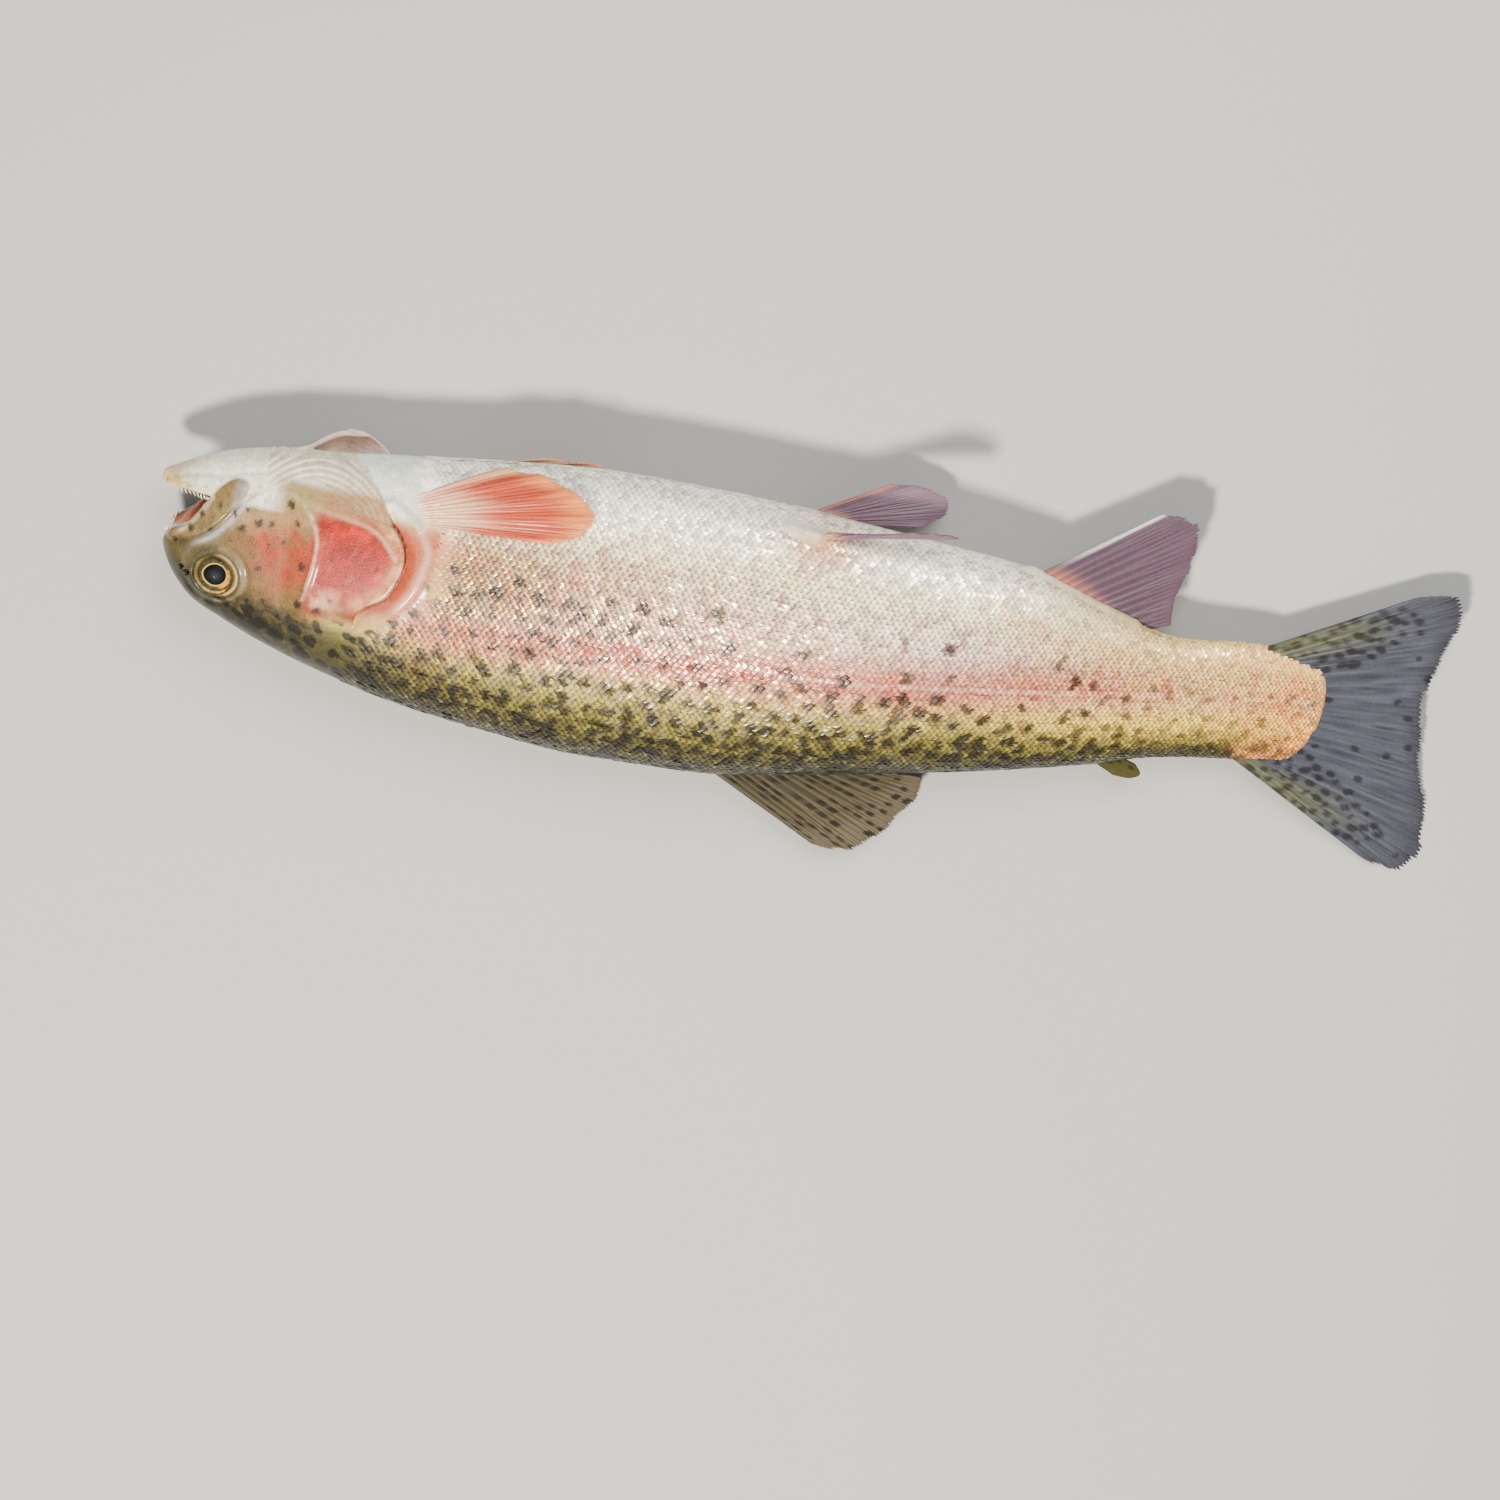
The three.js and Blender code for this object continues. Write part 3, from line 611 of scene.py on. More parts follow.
def spot_map(seed=11):
    """Dark blotches scattered over the unrolled flank, from 0 to 1."""
    rng = np.random.default_rng(seed)
    nx, ny = int((TAIL_X + 6) / SPOT_PITCH), int(2 * SPOT_ARC / SPOT_PITCH)
    out = np.zeros((nx, ny), np.float32)
    count = 26000
    x = rng.uniform(4, TAIL_X, count)
    arc = rng.uniform(-1, 1, count) * half_girth(x)
    h = height(x, flank_point(x, arc)[:, 1])
    room = spot_room(x, h)
    bins, kept = {}, []
    cell = 7.0
    for n in np.nonzero(room < 30)[0]:
        key = (int(x[n] // cell), int(arc[n] // cell))
        close = [m for i in (-1, 0, 1) for j in (-1, 0, 1) for m in bins.get((key[0] + i, key[1] + j), ())]
        if all(math.hypot(x[n] - x[m], arc[n] - arc[m]) > min(room[n], cell) for m in close):
            bins.setdefault(key, []).append(n)
            if room[n] < rng.uniform(5, 20):
                kept.append(n)
    for n in kept:
        size = rng.uniform(1.05, 1.7) * (1.0 if h[n] < -0.25 else 0.85) * (1 - 0.35 * smoothstep(x[n], 250, 300))
        reach = int(3.6 / SPOT_PITCH)
        ci, cj = int(x[n] / SPOT_PITCH), int((arc[n] + SPOT_ARC) / SPOT_PITCH)
        if not (reach < ci < nx - reach and reach < cj < ny - reach):
            continue
        gi, gj = np.mgrid[-reach:reach + 1, -reach:reach + 1] * SPOT_PITCH
        field = np.full(gi.shape, 9.0)
        for _ in range(3):
            ox, oy = rng.normal(0, 0.55 * size, 2)
            turn, stretch = rng.uniform(0, np.pi), rng.uniform(1.0, 1.7)
            u = ((gi - ox) * math.cos(turn) + (gj - oy) * math.sin(turn)) / stretch
            v = (gj - oy) * math.cos(turn) - (gi - ox) * math.sin(turn)
            field = np.minimum(field, np.hypot(u, v) - 0.9 * size)
        window = out[ci - reach:ci + reach + 1, cj - reach:cj + reach + 1]
        strength = rng.uniform(0.85, 1) * (1 - 0.3 * smoothstep(x[n], 270, 310))
        np.maximum(window, (1 - smoothstep(field, -0.16, 0.2)) * strength, out=window)
    return out


SPOTS = spot_map()


def spots_at(x, arc):
    return sample(SPOTS, x / SPOT_PITCH, (arc + SPOT_ARC) / SPOT_PITCH)


def value_noise(x, y, size, seed):
    """Smooth noise over a plane, from -1 to 1, with lumps of about the given size."""
    rng = np.random.default_rng(seed)
    table = rng.uniform(-1, 1, (256, 256))
    i, j = np.mod(x / size, 255), np.mod(y / size, 255)
    i0, j0 = i.astype(int), j.astype(int)
    fi, fj = smoothstep(i - i0, 0, 1), smoothstep(j - j0, 0, 1)
    low = table[i0, j0] * (1 - fj) + table[i0, j0 + 1] * fj
    high = table[i0 + 1, j0] * (1 - fj) + table[i0 + 1, j0 + 1] * fj
    return low * (1 - fi) + high * fi


def wash(colour, mask, other):
    mask = np.clip(mask, 0, 1)[:, None]
    return colour * (1 - mask) + other * mask


def ramp(v, stops):
    """Colours along v, through (place, colour) stops."""
    places = [s[0] for s in stops]
    return np.stack([np.interp(v, places, [s[1][n] for s in stops]) for n in range(3)], axis=-1)


def body_colour(x, y, arc):
    """The trunk's colour and how silvery it is."""
    h = height(x, y)
    patchy = value_noise(x, arc, 7, 1) * 0.5 + value_noise(x, arc, 2.6, 2) * 0.5
    hh = h + 0.035 * patchy
    colour = ramp(hh, [(-1, DARK_BACK), (-0.8, OLIVE), (-0.52, TAN), (-0.26, CREAM), (0.02, SILVER * 0.93),
                       (0.3, SILVER), (0.62, PEARL), (0.86, BELLY_WHITE), (1, BELLY_WHITE * 0.95)])
    rear = smoothstep(x, 225, 300)
    colour = wash(colour, rear * smoothstep(hh, -0.75, -0.2) * 0.8, PEDUNCLE)
    colour = wash(colour, (0.6 + 0.7 * patchy) * smoothstep(x + 5 * patchy, 310, 334), TAIL_PINK)
    off = (y - along(STRIPE_MIDDLE, x)) / along(STRIPE_HALF, x)
    band = np.exp(-np.abs(off + 0.12 * patchy) ** 2.6)
    strength = smoothstep(x, 66, 88) * (1 - 0.2 * smoothstep(x, 160, 210)) * (1 - 0.65 * smoothstep(x, 262, 315))
    colour = wash(colour, 0.55 * strength * bell(off, 2.4) * smoothstep(off, -1.9, -0.7), BLUSH)
    colour = wash(colour, (0.86 + 0.3 * patchy) * band * strength, STRIPE)
    line = np.abs(y - along(LATERAL, x))
    seen = 1 - 0.5 * smoothstep(x, 235, 290)
    broken = 0.7 + 0.5 * value_noise(x, y, 2.4, 22)
    colour = wash(colour, 0.4 * bell(line - 1.3, 0.45) * smoothstep(x, 120, 200) * seen * broken, STRIPE * 0.6)
    colour = wash(colour, 0.4 * bell(line, 0.5) * smoothstep(x, 80, 100) * seen * broken, SILVER * 0.9)
    colour = wash(colour, 0.6 * bell(np.hypot(x - 80, (y - 4) * 0.5), 9), SHOULDER_PINK)
    colour = wash(colour, 0.75 * smoothstep(x, 105, 60) * smoothstep(hh, -0.3, -0.55), HEAD_TOP)
    colour = wash(colour, 0.85 * bell(np.hypot((x - 190) * 0.45, y - 32), 6.5) * (1 + 0.4 * patchy), FLANK_TAN)
    warm = smoothstep(y + 3 * patchy, 31, 11) * smoothstep(off, -1.2, -0.2) * smoothstep(x, 235, 115)
    colour = wash(colour, 0.85 * warm * (1 - 0.8 * band), FLANK_TAN)
    tan = smoothstep(y + 3 * patchy, 27, 14) * smoothstep(off, -1.2, -0.2) * smoothstep(x, 155, 92)
    colour = wash(colour, 0.85 * tan * (1 - 0.7 * band) * (1 + 0.3 * patchy), SHOULDER_TAN)
    tinge = value_noise(x, arc, 3.3, 21)
    pearly = smoothstep(h, -0.15, 0.2) * smoothstep(h, 0.95, 0.6)
    grey = value_noise(x, arc, 1.7, 23)
    colour = wash(colour, 0.38 * pearly * smoothstep(tinge, 0.1, 0.8), BLUSH)
    colour = wash(colour, 0.32 * pearly * smoothstep(tinge, -0.1, -0.8), CREAM)
    colour = wash(colour, 0.3 * pearly * smoothstep(grey, 0.1, 0.9), PEARL_GREY)
    silver = 0.12 + 0.45 * smoothstep(h, -0.5, 0.2) * (1 - 0.6 * band) * (1 - 0.5 * warm)
    return colour, silver


HEAD_SPOTS = (  # x, y and radius of the larger spots of the face, mm
    (13.1, 13.0, 0.9), (10.2, 8.6, 1.0), (5.8, 3.7, 0.9), (17.8, 16.9, 0.8), (25.2, 11.7, 1.1), (30.1, 14.1, 1.3),
    (22.5, 15.3, 0.8), (33.6, 14.8, 0.7), (38.4, 21.2, 1.1), (41.3, 16.4, 0.8), (43.8, 4.2, 1.2), (31.3, 0.7, 0.8),
    (44.0, -7.7, 1.2), (49.5, -8.7, 1.4), (38.3, -13.3, 1.0), (41.8, -13.0, 1.1), (46.7, -13.8, 1.5),
    (52.6, -18.4, 1.4), (60.7, -17.4, 1.5), (45.0, -24.2, 1.4), (40.8, -32.0, 1.1),
    (53.0, -4.3, 0.7), (56.6, 1.2, 0.6), (65.4, 7.6, 0.7), (68.6, -2.1, 0.8), (52.1, 8.1, 0.5), (33.5, -9.0, 0.7),
    (28.7, -10.4, 0.8), (33.3, 8.7, 0.6), (22.2, 7.6, 0.6), (26.1, 17.0, 0.7), (16.0, 9.2, 0.6), (37.8, 10.3, 0.6),
)


def head_spots(x, y):
    """The face's spots, with ragged soft edges."""
    ragged = 0.4 * value_noise(x, y, 0.7, 15) + 0.25 * value_noise(x, y, 0.35, 16)
    out = np.zeros(len(x))
    for sx, sy, radius in HEAD_SPOTS:
        away = np.hypot(x - sx, (y - sy) * 0.85) + ragged
        out = np.maximum(out, smoothstep(away, radius + 0.35, radius - 0.45))
    return out


def gill_colour(colour, x, y, maps, noise, side):
    """The red gill cover with its paler plates and the soft pale rims of its bones."""
    cover = smoothstep(maps[:, COVER_D], 0.3, -0.8) * smoothstep(x, 44, 49)
    rough = 1 + 0.7 * noise
    rays_out = np.arctan2(y + 10, x - 47)
    striae = value_noise(rays_out * 26, np.hypot(x - 47, y + 10) * 0.12, 1.0, 6)
    blotch = value_noise(x, y, 5.5, 18) + 0.6 * value_noise(x, y, 2.2, 19) + 0.4 * value_noise(x, y, 0.9, 24)
    ridge = smoothstep(y, -9, -3)
    colour = wash(colour, cover * smoothstep(y, -15, -8), GILL_PINK)
    colour = wash(colour, cover * bell(np.hypot((x - 59) * 0.75, y - 4), 13) * rough, GILL_RED)
    colour = wash(colour, cover * smoothstep(blotch, 0.15, 0.9) * 0.55, GILL_RED * 0.55)
    colour = wash(colour, cover * smoothstep(blotch, -0.2, -0.9) * 0.4, SHOULDER_PINK * 1.4)
    colour = wash(colour, cover * bell(np.hypot(x - 51, y + 6), 5) * smoothstep(blotch, 0.1, -0.8) * 0.5, BONE_EDGE)
    colour = wash(colour, cover * bell(np.hypot(x - 56, y + 11), 6) * 0.9 * rough, CHEEK)
    colour = wash(colour, cover * smoothstep(striae + 0.6 * noise, 0.3, 1.1) * 0.08, BONE_EDGE)
    colour = wash(colour, 0.5 * bell(maps[:, PRE_D], 0.5) * ridge * (1 + 0.9 * noise), BONE_EDGE)
    colour = wash(colour, 0.4 * bell(maps[:, SUB_D], 0.6) * (x > 44), BONE_EDGE)
    rim = cover * (side > 4) * smoothstep(y, -8, -2)
    colour = wash(colour, rim * 0.45 * bell(maps[:, REAR_D] - 1.6, 2.0) * (1 + noise), RIM_YELLOW)
    return wash(colour, rim * 0.35 * bell(maps[:, REAR_D] - 0.5, 0.5) * (1 + noise), BONE_EDGE), cover


def jaw_colour(colour, x, y, points, maps, noise, side):
    """Upper-jaw bones, the white lower jaw and the rayed membranes of the throat."""
    bone = smoothstep(maps[:, MAXILLA_D], 0.6, -0.3) * (side > 3)
    lip = smoothstep(maps[:, GAPE_D], 1.6, 0.2)
    colour = wash(colour, bone * 0.85, MAXILLA_TAN * (1 + 0.45 * noise)[:, None])
    colour = wash(colour, bone * smoothstep(maps[:, RIM_D], 2.6, 0.8) * 0.35, SNOUT)
    colour = wash(colour, bone * lip * 0.55 * smoothstep(x, 4, 9), BONE_EDGE)
    colour = wash(colour, bone * smoothstep(x, 20, 25) * 0.35, THROAT_BLUE)
    colour = wash(colour, 0.5 * bell(maps[:, RIM_D] - 1.0, 0.8) * (1 - bone) * smoothstep(x, 9, 16) * (side > 3), THROAT_BLUE)
    colour = wash(colour, 0.5 * bell(maps[:, RIM_D], 0.45), HEAD_TOP)
    jaw = smoothstep(y, 17.6, 19.4) * (1 - bone) * smoothstep(x, 38, 31)
    jaw = np.maximum(jaw, smoothstep(y, 26, 29))
    colour = wash(colour, jaw, JAW_WHITE * (1 + 0.1 * noise)[:, None])
    colour = wash(colour, jaw * smoothstep(x, 13, 2) * 0.9, JAW_TIP)
    freckled = value_noise(x, y, 1.1, 20) + 0.6 * noise
    colour = wash(colour, jaw * smoothstep(y, 27, 20) * smoothstep(freckled, 0.1, 0.9) * 0.5, CHEEK)
    colour = wash(colour, jaw * bell(y - 22.5 - 0.1 * x, 1.5) * smoothstep(x, 30, 20) * 0.35, THROAT_BLUE)
    rays = smoothstep(maps[:, MEMBRANE_D], 0.3, -0.5)
    groove = smoothstep(-maps[:, RIBS], -0.05, 0.28)
    colour = wash(colour, rays * (0.2 + 0.4 * groove), MEMBRANE_TAN * (1 + 0.3 * noise)[:, None])
    colour = wash(colour, rays * (0.15 + 0.45 * groove) * smoothstep(x, 46, 58) * 0.7, GILL_PINK)
    # the spread left flap's pale pink, made brighter as painted light for light shining through the thin flap while it
    # lies in shade
    far = smoothstep(points[:, 1], 26, 32) * smoothstep(points[:, 2], 0, -3) * smoothstep(x, 40, 48)
    return wash(colour, 0.95 * far, FLAP_LIT_PINK * (1 - 0.12 * groove * rays)[:, None])


def drawn_height(points):
    """The height at which a point is looked up in the head's drawing: as if the spread cover were shut."""
    x, y, z = points.T
    shut_y, _ = shut_again(x, y, z)
    lifted = smoothstep(body_field(x, y, z, SKIN_LIFT), 1.0, 2.5) * (z < 0)
    return y + (shut_y - y) * lifted


def head_colour(points, x, y, arc):
    """The head's colour: olive crown, tan snout, red cheek and gill cover, white jaw and throat."""
    side = np.abs(points[:, 2])
    maps = head_lookup(x, drawn_height(points))
    noise = value_noise(x, arc, 4, 3) * 0.4 + value_noise(x, arc, 1.5, 4) * 0.4 + value_noise(x, arc, 0.7, 5) * 0.4
    crown = np.interp(x, [-4, 20, 30, 45, 60, 75], [2, -9, -9, -11, -14, -15]) + 4 * noise
    colour = np.repeat(CHEEK[None, :], len(x), 0) * (1 + 0.4 * noise)[:, None]
    colour = wash(colour, smoothstep(y + 3 * noise, 8, 15) * 0.75, CHEEK_GREY)
    colour = wash(colour, smoothstep(x, 24, 6) * smoothstep(y, 14, 3) * 0.85, SNOUT * (1 + 0.3 * noise)[:, None])
    blotch = value_noise(x, y, 3.4, 25) + 0.7 * value_noise(x, y, 1.4, 26)
    red = bell(np.hypot((x - 38.5) * 0.85, y - 6), 9.5) * (1 + 0.9 * noise) * (1 + 0.45 * np.clip(blotch, -1, 0.4))
    colour = wash(colour, red, CHEEK_PINK)
    colour = wash(colour, 0.4 * smoothstep(blotch, 0.3, 1.2), CHEEK * 0.5)
    colour, cover = gill_colour(colour, x, y, maps, noise, side)
    from_eye = np.hypot(x - EYE[0], y - EYE[1])
    colour = wash(colour, 0.65 * bell(from_eye - 8.5, 3.2) * (1 + 0.4 * noise) * (side > 5), ORBIT_GREY)
    colour = wash(colour, smoothstep(y, crown + 3, crown - 3), HEAD_TOP)
    pale = smoothstep(noise, 0.1, 0.7) * smoothstep(y, crown + 4, crown - 2)
    colour = wash(colour, 0.3 * pale, CHEEK * 1.3)
    colour = wash(colour, smoothstep(y, 18, 23) * smoothstep(x, 28, 34) * 0.7, CHEEK_GREY)
    colour = jaw_colour(colour, x, y, points, maps, noise, side)
    colour = wash(colour, 0.7 * bell(from_eye - ORBIT_RIM + 0.2, 0.8) * (side > 5), HEAD_TOP)
    colour = wash(colour, 0.35 * bell(from_eye - ORBIT_RIM - 1.0, 0.6) * (side > 5) * (x > EYE[0]), CHEEK_GREY)
    socket = smoothstep(from_eye, 7.2, 6.7) * (side > 5)
    colour = wash(colour, 0.8 * socket, HEAD_TOP)
    colour = wash(colour, 0.8 * bell(from_eye - 6.5, 0.4) * socket * smoothstep(x, 17, 22), RIM_YELLOW)
    # painted shade: the nostril pits are darkened
    for nx, ny, radius in NOSTRILS:
        colour = wash(colour, smoothstep(np.hypot(x - nx, y - ny), radius + 0.2, radius * 0.4), SPOT * 0.4)
    return wash(colour, 0.85 * head_spots(x, y) * (side > 2), SPOT), cover


def paint(points, scaly, middles=None):
    """Colour and silveriness of points of the skin or of the scales, whose spots follow each scale's middle."""
    x, y, z = points.T
    arc = flank_arc(points)
    colour, silver = body_colour(x, y, arc)
    spots = spots_at(x, arc)
    if scaly:
        follow = middles[:, 2]
        spots = (1 - follow) * spots + follow * spots_at(middles[:, 0], middles[:, 1])
    if not scaly:
        on_head = np.nonzero(x < 84)[0]
        front = smoothstep(x[on_head], scaled_from(y[on_head]) + 1.5, scaled_from(y[on_head]) - 1.5)
        face, cover = head_colour(points[on_head], x[on_head], y[on_head], arc[on_head])
        base = colour[on_head]
        behind = head_lookup(x[on_head], drawn_height(points[on_head]))
        flush = smoothstep(y[on_head], -12, -4) * smoothstep(y[on_head], 24, 18)
        base = wash(base, 0.8 * flush, SHOULDER_PINK)
        base = wash(base, 0.8 * smoothstep(y[on_head], 21, 26), THROAT_WHITE)
        base = wash(base, bell(behind[:, CLEITHRUM_D], 1.4) * 0.4 * smoothstep(y[on_head], -7, -1), BONE_EDGE)
        is_head = smoothstep(np.minimum(behind[:, COVER_D], behind[:, MEMBRANE_D]), 0.6, -0.2)
        is_head = np.maximum(is_head, smoothstep(x[on_head], 40, 36))
        crown = smoothstep(y[on_head], -8, -12)
        is_head = is_head * (1 - crown) + crown * smoothstep(x[on_head], 58, 40)
        base = wash(base, is_head, face)
        colour[on_head] = wash(colour[on_head], front, base)
        spots[on_head] *= 1 - front * smoothstep(y[on_head], -12, -9)
        deep = -body_field(*points[on_head].T, SKIN_LIFT)
        mouth = smoothstep(deep, 1.6, 2.8) * (x[on_head] < 40)
        slit = smoothstep(deep, 1.0, 1.9) * (x[on_head] > 44) * smoothstep(y[on_head], 26, 20)
        colour[on_head] = wash(colour[on_head], mouth, MOUTH_PINK)
        colour[on_head] = wash(colour[on_head], slit, GILL_SLIT)
        spots[on_head] *= (1 - mouth) * (1 - slit)
        silver[on_head] *= 1 - 0.7 * front
    colour = wash(colour, spots * 0.95, SPOT)
    silver = silver * (1 - 0.8 * spots)
    return colour, silver


# ---- Scales ----

SCALED_FROM = np.array([(-50, 54), (-36, 56), (-24, 58), (-18, 60.5), (-11.5, 64.5), (-6.3, 72.5), (1.7, 79), (10.9, 82),
                        (19.7, 82.5), (27, 79), (33, 74), (40, 70), (50, 69)])
COLUMN_PITCH, ROW_PITCH = 1.85, 1.42
TAIL_COLUMN, TAIL_ROW = 1.3, 1.0
SCALE_LENGTH, SCALE_HALF_WIDTH = 1.75, 0.86  # in pitches
SCALE_ROOT, SCALE_EDGE, BELLY_EDGE = -0.16, 0.13, 0.05  # heights over the plain body
TUBULE = 0.16  # how far the lateral line's tubes stand up
SCALE_TILT = 0.06  # how far a scale leans to one side, mm at its edge
PIECES = 5


def scaled_from(y):
    ragged = 0.9 * np.sin(y * 1.9) + 0.7 * np.sin(y * 4.7 + 1)
    return np.interp(y, SCALED_FROM[:, 0], SCALED_FROM[:, 1]) + ragged


def lateral_arc(x):
    points = np.stack([x, along(LATERAL, x), np.ones_like(x)], 1)
    wide = section(x, HALF_WIDTH)
    h = np.abs(height(x, points[:, 1]))
    points[:, 2] = wide * (1 - h**SECTION_POWER) ** (1 / SECTION_POWER)
    return flank_arc(points)


def scale_roots():
    """Where every scale starts: x, signed arc, its pitches and whether it is on the lateral line."""
    rng = np.random.default_rng(5)
    columns = [50.0]
    while columns[-1] < TAIL_X:
        columns.append(columns[-1] + float(np.interp(columns[-1], [200, 335], [COLUMN_PITCH, TAIL_COLUMN])))
    columns = np.array(columns)
    out = []
    for row in range(-60, 76):
        x = columns + (0.5 if row % 2 else 0.0) * np.gradient(columns)
        x = x + rng.normal(0, 0.09, len(x))
        pitch = np.interp(x, [180, 335], [ROW_PITCH, TAIL_ROW])
        arc = lateral_arc(x) + row * pitch + rng.normal(0, 0.06, len(x))
        length = np.interp(x, [200, 335], [COLUMN_PITCH, TAIL_COLUMN])
        ok = (arc > 0.2) & (arc < half_girth(x) - 0.2)
        out.append(np.stack([x, arc, length, pitch, np.full(len(x), row == 0)], 1)[ok])
    right = np.vstack(out)
    left = right.copy()
    left[:, 1] *= -1
    both = np.vstack([right, left])
    y = flank_point(both[:, 0], both[:, 1])[:, 1]
    fits = (both[:, 0] > scaled_from(y)) & (both[:, 0] < tail_end(y) - 2.2)
    return both[fits]


def scale_tiles(roots):
    """Vertices, faces, colours and bake layout of one piece of the coat: a rounded, raised plate per scale."""
    rng = np.random.default_rng(len(roots))
    run = np.array([0.0, 0.45, 0.69, 0.87, 1.0])
    across = np.array([-1, -0.55, 0, 0.55, 1.0])
    rise = np.array([0.0, 0.65, 0.9, 1.0, 0.55])
    n = len(roots)
    x0, arc0, length, pitch, lateral = (roots[:, k][:, None, None] for k in range(5))
    y0 = flank_point(roots[:, 0], roots[:, 1])[:, 1]
    h0 = height(roots[:, 0], y0)
    near_front = smoothstep(roots[:, 0], scaled_from(y0), scaled_from(y0) + 7)
    edge = (SCALE_EDGE + (BELLY_EDGE - SCALE_EDGE) * smoothstep(h0, 0.3, 0.9)) * (0.4 + 0.6 * near_front)
    edge = (edge * rng.uniform(0.45, 1.6, n))[:, None, None]
    a, b = run[None, :, None], across[None, None, :]
    rounding = np.sqrt(1 - 0.72 * b**2)
    px = x0 + a * rounding * length * SCALE_LENGTH - 0.3 * length * b**2
    width = 0.75 + 0.25 * np.minimum(1, a * 2.4)
    parc = arc0 + b * width * pitch * SCALE_HALF_WIDTH
    lift = SCALE_ROOT + (edge - SCALE_ROOT) * rise[None, :, None] - 0.05 * b**2 * rise[None, :, None]
    lift = lift + lateral * TUBULE * bell(b, 0.4) * rise[None, :, None] * (a < 0.97)
    lift = lift + SCALE_TILT * rng.normal(0, 1, n)[:, None, None] * b * rise[None, :, None] * (edge / SCALE_EDGE)
    round_half = half_girth(px)
    parc = np.mod(parc + round_half, 2 * round_half) - round_half
    points = flank_point(px.ravel(), parc.ravel(), np.broadcast_to(lift, parc.shape).ravel())
    corner = (np.arange(4)[:, None] * 5 + np.arange(4)[None, :]).ravel()
    quad = np.stack([corner, corner + 5, corner + 6, corner + 1], 1)
    faces = (np.arange(n)[:, None, None] * 25 + quad[None]).reshape(-1, 4)
    flipped = np.repeat(roots[:, 1] < 0, 16)
    faces[~flipped] = faces[~flipped][:, ::-1]
    half = 0.0013
    root_u = 0.02 + 0.94 * (roots[:, 0] / 350)
    root_v = 0.5 + 0.48 * roots[:, 1] / SPOT_ARC
    u = root_u[:, None, None] + half * (2 * a - 1) + 0 * b
    v = root_v[:, None, None] + half * b + 0 * a
    layout = np.stack([u.ravel(), v.ravel()], 1)
    # random brightness of each plate, partly real and partly painted light for plates that catch the light at different
    # tilts
    shade = np.repeat(rng.normal(0, 1, n) * (0.3 + 0.7 * near_front), 25)
    # painted shade, partly the dark outlines between scales: each plate is darkened at its root just behind the rim of
    # the scale that covers it, along its sides and along its own rim, and left bright in its middle
    rim_shade = np.array([0.0, 0.2, 1.0, 0.8, 0.0])[None, :, None] * (1 - 0.85 * b**4)
    outlined = 0.95 - 0.4 * smoothstep(h0, 0.5, 0.9)
    rim_shade_tone = 1 - (1 - rim_shade) * (outlined * near_front)[:, None, None]
    middle = np.stack([roots[:, 0] + 0.8 * SCALE_LENGTH * roots[:, 2], roots[:, 1], 0.65 * near_front], 1)
    return points, faces, layout, shade, rim_shade_tone.ravel(), np.repeat(middle, 25, 0)


# ---- Fins ----

def fin_grid(root, edge, columns, rows, droop=0.0, angles=False):
    """Points of a fin's middle sheet: columns from the first ray to the last, rows from root to edge."""
    def line(points):
        smooth = spline(points, 12)
        run = np.concatenate([[0], np.cumsum(np.linalg.norm(np.diff(smooth, axis=0), axis=1))])
        t = np.linspace(0, 1, columns)
        at = (t + 0.01 * np.sin(2.6 * 2 * np.pi * t) + 0.003 * np.sin(9 * 2 * np.pi * t)) * run[-1]
        return np.stack([np.interp(at, run, smooth[:, k]) for k in range(smooth.shape[1])], 1)
    a, b = line(root), line(edge)
    t = np.linspace(0, 1, rows)[None, :, None]
    sheet = a[:, None, :] * (1 - t) + b[:, None, :] * t
    if angles:
        sheet = skin_point(sheet[..., 0], np.radians(sheet[..., 1]), sheet[..., 2])
    sheet[..., 2] += droop * (t[..., 0] * (1 - t[..., 0])) * 4
    return sheet


def ray_ridge(phase, run):
    """How far each point is on a ray: every ray splits in two, and again near the edge."""
    t = np.mod(phase, 1) - 0.5
    first = 0.24 * smoothstep(run, 0.38, 0.72)
    second = 0.115 * smoothstep(run, 0.66, 0.95)
    width = 0.2 - 0.125 * smoothstep(run, 0.3, 1.0)
    return np.max([bell(t - i * first - j * second, width) for i in (-1, 1) for j in (-1, 1)], axis=0)


